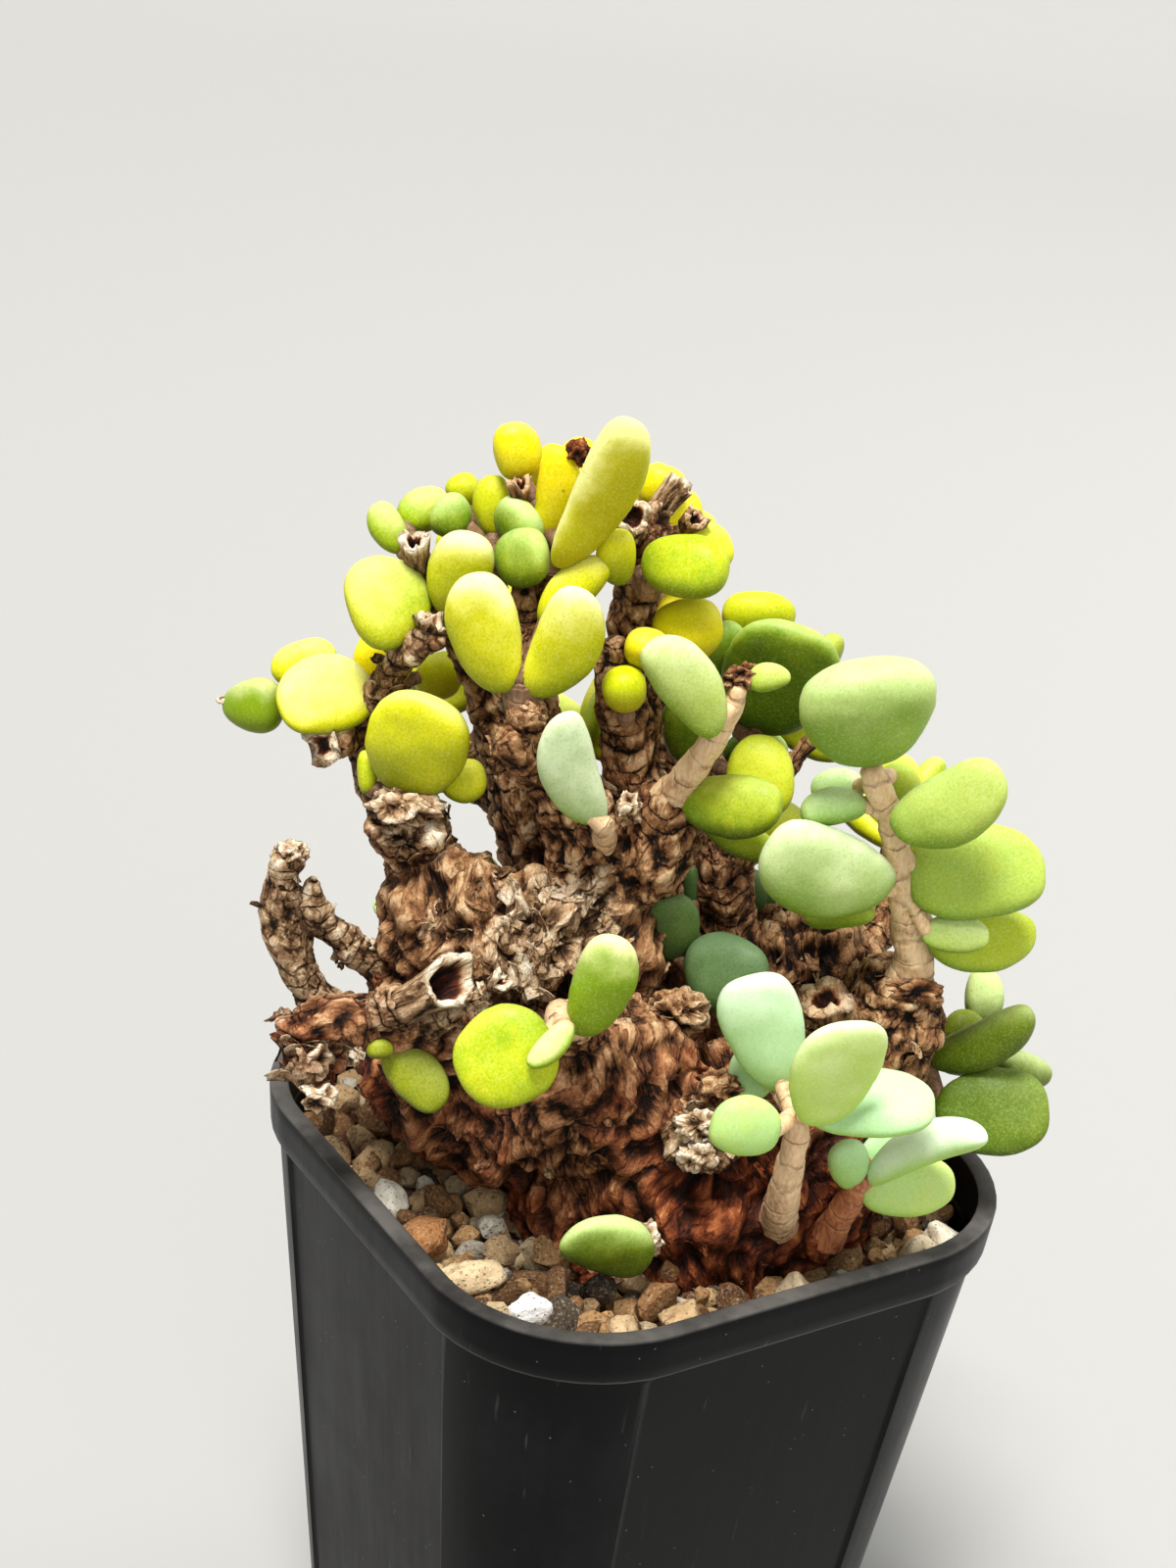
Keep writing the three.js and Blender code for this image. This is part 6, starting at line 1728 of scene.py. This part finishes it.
@dataclass
class NurseryPot:
    """The square moulded pot with its rim band, set-in panels and drain holes."""

    floor: float = 2.0
    panel_depth: float = 0.5
    panel_margin: float = 6.0
    drain_radius: float = 3.5
    drain_reach: float = 15.0
    lip: float = 0.45
    drain_sides: int = 32
    sharp: float = 38.0

    def _band_at(self, z: float, inset: float) -> tuple[float, float]:
        """The side and corner radius of the rim band at a height, less an inset."""
        share = (z - (POT_HEIGHT - RIM_BAND)) / RIM_BAND
        return POT_SIDE - 1 + share - 2 * inset, RIM_CORNER - 0.5 + 0.5 * share - inset

    def _outlines(self) -> list[Array]:
        """The pot's skin as outlines, from the middle of its underside, out and up, and down inside."""
        band = POT_HEIGHT - RIM_BAND
        top = POT_HEIGHT
        low, high = self.panel_margin, band - 1
        depth = self.panel_depth
        outside = [
            (0.0, 0.8, 0.0), (0.12, 0.3, 0.0), (0.6, 0.03, 0.0), (3.0, 0.0, 0.0), (low - 0.2, 0.0, 0.0),
            (low + 0.2, 0.0, depth), (20.0, 0.0, depth), (35.0, 0.0, depth), (50.0, 0.0, depth),
            (65.0, 0.0, depth), (high - 0.2, 0.0, depth), (high + 0.2, 0.0, 0.0), (band - 0.2, 0.0, 0.0),
        ]
        rim = [
            (band, 0.7), (band + 0.15, 0.25), (band + 0.6, 0.02), (band + 2.0, 0.0), (band + 4.0, 0.0),
            (top - self.lip, 0.0), (top - self.lip * 0.3, self.lip * 0.3), (top, self.lip),
        ]
        inner_edge = self._band_at(top, 0)[0] / 2 - wall_at(top, WALL)[0] / 2
        inside = [(top - 0.3, 0.05), (70.0, 0.0), (50.0, 0.0), (25.0, 0.0), (self.floor + 0.8, 0.0)]
        rows = [outline_at(0.0, *wall_at(0, 1), reach) for reach in (0.0, 0.6)]
        rows += [outline_at(z, *wall_at(z, inset), 1.0, panel) for z, inset, panel in outside]
        rows += [outline_at(z, *self._band_at(z, inset), 1.0) for z, inset in rim]
        rows += [outline_at(top, *self._band_at(top, inner_edge - self.lip), 1.0)]
        rows += [outline_at(z, *wall_at(z, WALL + inset), 1.0) for z, inset in inside]
        rows += [outline_at(self.floor, *wall_at(self.floor, WALL + 0.8), reach) for reach in (1.0, 0.6, 0.0)]
        return rows

    def build(self) -> Piece:
        """Builds the pot.

        Returns:
            The piece.
        """
        bm = bmesh.new()
        loft(bm, self._outlines())
        bmesh.ops.recalc_face_normals(bm, faces=bm.faces)
        pot = settled(bm, "nursery_pot", Matrix.Identity(4))
        cutter_form = bmesh.new()
        for x in (-1, 1):
            for y in (-1, 1):
                spot = Matrix.Translation((x * self.drain_reach, y * self.drain_reach, self.floor / 2))
                bmesh.ops.create_cone(
                    cutter_form, cap_ends=True, segments=self.drain_sides, radius1=self.drain_radius,
                    radius2=self.drain_radius, depth=3 * self.floor, matrix=spot,
                )
        cutter = settled(cutter_form, "drain_cutter", Matrix.Identity(4))
        drains = pot.modifiers.new("Drains", "BOOLEAN")
        drains.operation = "DIFFERENCE"
        drains.solver = "EXACT"
        drains.object = cutter
        baked(pot)
        bpy.data.objects.remove(cutter)
        pot.data.shade_smooth()
        pot.data.set_sharp_from_angle(angle=math.radians(self.sharp))
        dressed(pot, PlasticFinish().material(), "pot", "pot")
        return pot


PEBBLE_TINTS: list[tuple[float, Colour]] = [
    (0.26, srgb(186, 142, 92)), (0.22, srgb(152, 108, 66)), (0.17, srgb(208, 172, 124)),
    (0.13, srgb(224, 198, 156)), (0.12, srgb(120, 82, 52)), (0.06, srgb(240, 230, 210)),
    (0.04, srgb(84, 72, 60)),
]
STONE_TINTS: dict[str, Colour] = {
    "pale_wedge": srgb(226, 200, 158), "white_left": srgb(236, 232, 216), "white_front": srgb(248, 248, 246),
    "block_front": srgb(198, 166, 122), "oval_front": srgb(216, 184, 142), "pale_round": srgb(230, 208, 172),
    "white_right": srgb(244, 234, 212), "cream_right": srgb(232, 212, 178), "brown_left": srgb(164, 112, 66),
    "pale_back": srgb(214, 192, 156),
}


def add_stone(
    bm: Form, size: tuple[float, float, float], place: Vector, turn: Matrix, tint: Colour,
    draw: random.Random, subdivisions: int,
) -> None:
    """Adds one irregular stone: a ball with flats knocked off it and a rough skin.

    Args:
        bm: The form to add to.
        size: Its length, breadth and height.
        place: Its centre.
        turn: How it lies.
        tint: Its colour.
        draw: The seeded draws.
        subdivisions: How fine it is.
    """
    verts = bmesh.ops.create_icosphere(bm, subdivisions=subdivisions, radius=1.0)["verts"]
    ball = points_of(verts)
    reach = np.full(len(ball), 1.12)
    for _ in range(8):
        flat = np.array([draw.gauss(0, 1) for _ in range(3)])
        flat = flat / np.linalg.norm(flat)
        facing = np.maximum(ball @ flat, 1e-3)
        reach = np.minimum(reach, np.where(facing > 0.3, draw.uniform(0.56, 0.96) / facing, 9.0))
    seed = Vector([draw.uniform(0, 50) for _ in range(3)])
    rough = np.array([noise.fractal(Vector(spot) * 1.7 + seed, 0.8, 2.0, 3) for spot in ball])
    form = ball * (reach * (1 + 0.09 * rough))[:, None] * (np.array(size) / 2)
    put(verts, form @ np.array(turn).T + np.array(place))
    mark(bm, "tint", verts, tint[:3])


@dataclass
class Gravel:
    """The filling: a bed that fits the pot, with layers of grit on it, and the larger loose stones."""

    clearance: float = 0.3
    floor: float = 2.0
    bed_sink: float = 4.2
    trials: int = 5200
    coarse_trials: int = 900
    base_middle: tuple[float, float] = (6.0, -2.0)
    base_half: tuple[float, float] = (21.39, 18.6)
    coarse: Place = (4.6, 5.6, 6.6)
    fine: Place = (2.8, 3.4, 4.0)
    layers: tuple[tuple[float, float], ...] = ((-2.4, 3.0), (-1.0, 3.1), (0.3, 3.6))
    sharp: float = 34.0
    seed: int = 21

    def build(self) -> None:
        """Builds the filling and the loose stones."""
        draw = random.Random(self.seed)
        bm = form_with("tint")
        top = POT_HEIGHT - BED_BELOW_RIM - self.bed_sink
        inset = WALL + self.clearance
        heights = [self.floor + self.clearance, self.floor + self.clearance, 30.0, 55.0, top, top]
        reaches = [0.0, 1.0, 1.0, 1.0, 1.0, 0.0]
        rows = [outline_at(z, *wall_at(z, inset), reach) for z, reach in zip(heights, reaches)]
        # The bed is dark brown: the soil's own colour, and painted shade in the gaps between the stones.
        mark(bm, "tint", loft(bm, rows), srgb(62, 40, 26)[:3])
        bmesh.ops.recalc_face_normals(bm, faces=bm.faces)
        for lift, spacing in self.layers:
            self._layer(bm, lift, spacing, draw)
        filling = settled(bm, "gravel_filling", Matrix.Identity(4))
        filling.data.set_sharp_from_angle(angle=math.radians(self.sharp))
        dressed(filling, StoneFinish("gravel_grit").material(), "gravel", "gravel")
        stone_material = StoneFinish("loose_stone", srgb(150, 112, 76)).material()
        for name, row in STONES.items():
            self._loose(name, row, draw, stone_material)

    def _layer(self, bm: Form, lift: float, spacing: float, draw: random.Random) -> None:
        """Adds one layer of grit, its stones spaced so that they crowd but don't stack.

        Args:
            bm: The form to add to.
            lift: The stones' middles above the bed's own top.
            spacing: The least distance between their middles.
            draw: The seeded draws.
        """
        level = POT_HEIGHT - BED_BELOW_RIM + lift
        side, corner = wall_at(level, WALL + self.clearance)
        loose = [(PLANT_PLACE @ Vector((*row[:2], 0)), sum(row[2:4]) / 4) for row in STONES.values()]
        taken: list[tuple[float, float, float]] = []
        for trial in range(self.trials):
            x, y = (draw.uniform(-side / 2, side / 2) for _ in range(2))
            size = draw.choice(self.coarse if trial < self.coarse_trials else self.fine)
            reach = size * 0.42
            past = math.hypot(*(max(0.0, abs(v) - side / 2 + corner) for v in (x, y)))
            if past > corner - reach or max(abs(x), abs(y)) > side / 2 - reach:
                continue
            spot = PLANT_PLACE.inverted() @ Vector((x, y, level))
            if math.hypot(*((v - m) / h for v, m, h in zip(spot, self.base_middle, self.base_half))) < 1:
                continue
            if lift > 0 and any(math.hypot(x - s.x, y - s.y) < r + reach * 0.8 for s, r in loose):
                continue
            if any(math.hypot(x - a, y - b) < (reach + r) * spacing / 3.6 for a, b, r in taken):
                continue
            taken.append((x, y, reach))
            sizes = (size, size * draw.uniform(0.55, 0.85), size * draw.uniform(0.6, 0.95))
            turn = Matrix.Rotation(draw.uniform(0, 6.28), 3, "Z")
            turn = turn @ Matrix.Rotation(draw.uniform(-0.9, 0.9), 3, "Y")
            place = Vector((x, y, level + draw.uniform(-0.6, 0.6)))
            add_stone(bm, sizes, place, turn, self._tint(draw), draw, 2)

    @staticmethod
    def _tint(draw: random.Random) -> Colour:
        """One stone's colour."""
        pick = draw.random()
        light = draw.uniform(0.45, 0.92)
        for share, colour in PEBBLE_TINTS:
            pick -= share
            if pick <= 0:
                break
        return (colour[0] * light, colour[1] * light, colour[2] * light, 1.0)

    def _loose(self, name: str, row: list[float], draw: random.Random, material: Material) -> None:
        """Builds one larger loose stone."""
        x, y, length, breadth, height, turn = row
        bm = form_with("tint")
        place = Vector((x, y, height / 2 - STONE_SINK - BED_BELOW_RIM))
        way = Matrix.Rotation(math.radians(turn), 3, "Z")
        add_stone(bm, (length, breadth, height), place, way, STONE_TINTS[name], draw, 4)
        stone = settled(bm, f"stone_piece_{name}", PLANT_PLACE)
        dressed(stone, material, "stone", f"stone_{name}")


@dataclass
class Studio:
    """The pale floor, the soft light and the camera at the photograph's angle."""

    elevation: float = 23.4
    roll: float = 6.75
    distance: float = 279.0
    target: Place = (-9.8, 0.0, 44.0)
    lens: float = 56.25
    film: float = 36.0
    floor_ring: float = 800.0
    floor_curve: float = 900.0
    floor_reach: float = 1700.0
    wall_top: float = 2400.0
    clip: tuple[float, float] = (0.01, 20.0)

    def build(self) -> None:
        """Sets the floor, the lights and the camera."""
        self._floor()
        self._camera()
        self._sun((-0.2, -0.34, 1.15), {"angle": 0.36, "energy": 4.7, "color": (1.0, 0.985, 0.95)})
        self._soft("fill", (0.35, -1.05, 0.75), {"size": 0.9, "energy": 4.6, "color": DAYLIGHT})
        self._soft("rim", (0.8, 0.5, 0.9), {"size": 0.6, "energy": 5.0, "color": DAYLIGHT})
        world = bpy.data.worlds.new("soft_room")
        world.use_nodes = True
        room = world.node_tree.nodes["Background"].inputs
        room["Color"].default_value = (0.86, 0.88, 0.9, 1)
        room["Strength"].default_value = 0.28
        bpy.context.scene.world = world
        bpy.context.scene.view_settings.view_transform = "Standard"

    def _floor(self) -> None:
        """A wide plain pale floor that curves up into a wall far behind."""
        bm = bmesh.new()
        bend = [math.pi / 2 * k / 12 for k in range(13)]
        reach, curl = self.floor_reach, self.floor_curve
        curve = [(reach + curl * math.sin(a), curl * (1 - math.cos(a))) for a in bend]
        ends = [(0, 0), (self.floor_ring, 0), *curve, (reach + curl, self.wall_top)]
        line = [bm.verts.new((x, 0, z)) for x, z in ends]
        edges = [bm.edges.new(pair) for pair in zip(line, line[1:])]
        bmesh.ops.spin(
            bm, geom=line + edges, cent=(0, 0, 0), axis=(0, 0, 1), dvec=(0, 0, 0), angle=2 * math.pi,
            steps=96, use_merge=True, use_duplicate=False,
        )
        bmesh.ops.remove_doubles(bm, verts=bm.verts, dist=0.01)
        bmesh.ops.recalc_face_normals(bm, faces=bm.faces)
        bmesh.ops.reverse_faces(bm, faces=bm.faces)
        floor = settled(bm, "studio_floor", Matrix.Identity(4))
        graph = Graph("pale_floor")
        floor.data.materials.append(graph.surface({"Base Color": srgb(172, 172, 170), "Roughness": 0.9}))

    def _camera(self) -> None:
        """Places the camera as the photograph was taken, with its slight roll."""
        lift = math.radians(self.elevation)
        roll = math.radians(self.roll)
        back = Vector((0, -math.cos(lift), math.sin(lift)))
        up = Vector((0, math.sin(lift), math.cos(lift)))
        right = Vector((1, 0, 0))
        x_axis = right * math.cos(roll) + up * math.sin(roll)
        y_axis = up * math.cos(roll) - right * math.sin(roll)
        axes = Matrix((x_axis, y_axis, back)).transposed()
        data = bpy.data.cameras.new("camera")
        data.sensor_fit = "VERTICAL"
        data.sensor_height = self.film
        data.lens = self.lens
        data.clip_start, data.clip_end = self.clip
        camera = added("camera", data)
        spot = PLANT_PLACE @ (Vector(self.target) + back * self.distance)
        turn = PLANT_PLACE.to_3x3() @ axes
        camera.matrix_world = Matrix.Translation(spot * MM) @ turn.to_4x4()
        bpy.context.scene.camera = camera

    @staticmethod
    def _lamp(name: str, kind: str, settings: dict[str, Any], place: Matrix) -> None:
        """Adds a light of a kind, with its settings, at its place."""
        data = bpy.data.lights.new(name, kind)
        for key, value in settings.items():
            setattr(data, key, value)
        added(name, data).matrix_world = place

    def _sun(self, way: Place, settings: dict[str, Any]) -> None:
        """The broad main light, which comes from a direction in the plant's layout."""
        turned = PLANT_PLACE.to_3x3() @ Vector(way)
        self._lamp("key", "SUN", settings, turned.to_track_quat("Z", "Y").to_matrix().to_4x4())

    def _soft(self, name: str, place: Place, settings: dict[str, Any]) -> None:
        """A soft square light that looks at the plant, its place in metres in the plant's layout."""
        spot = PLANT_PLACE.to_3x3() @ Vector(place)
        aim = Vector((0, 0, 0.1)) - spot
        turn = aim.to_track_quat("-Z", "Y").to_matrix().to_4x4()
        self._lamp(name, "AREA", {"shape": "SQUARE", **settings}, Matrix.Translation(spot) @ turn)


# The shoots whose leaves take the darker copy, as painted shade.
SHADED_OLIVE_SHOOTS = ("right_back", "low_left")
CREAM_SHOOTS = ("right_twig", "middle_twig", "front_rosette", "centre_leaf", "front_left", "soil_leaf")
TWIG_FINISH_OF: dict[str, TwigFinish] = {"front_right": RED_TWIG} | dict.fromkeys(CREAM_SHOOTS, CREAM_TWIG)


def main() -> None:
    """Builds every piece, in order."""
    logging.basicConfig(level=logging.INFO, format="%(relativeCreated)6d ms  %(message)s")
    Studio().build()
    NurseryPot().build()
    Gravel().build()
    caudex = Caudex().build()
    broken_stubs(caudex.data.materials[0])
    leaf_materials = {finish.name: finish.material() for finish in (*LEAF_FINISHES.values(), SHADED_OLIVE_LEAF)}
    twig_materials = {finish.name: finish.material() for finish in (CREAM_TWIG, RED_TWIG, BROWN_TWIG)}
    shoots = dict(SHOOTS)
    for name, (tone, stem, count, size) in FAR_SHOOTS.items():
        shoots[name] = Shoot(tone, stem, far_leaves(stem, count, size))
    for name, shoot in shoots.items():
        twig = TWIG_FINISH_OF.get(name, BROWN_TWIG)
        leaf = SHADED_OLIVE_LEAF if name in SHADED_OLIVE_SHOOTS else LEAF_FINISHES[shoot.tone]
        LeafyShoot(name, shoot).build(leaf_materials[leaf.name], twig_materials[twig.name])


if __name__ == "__main__":
    main()
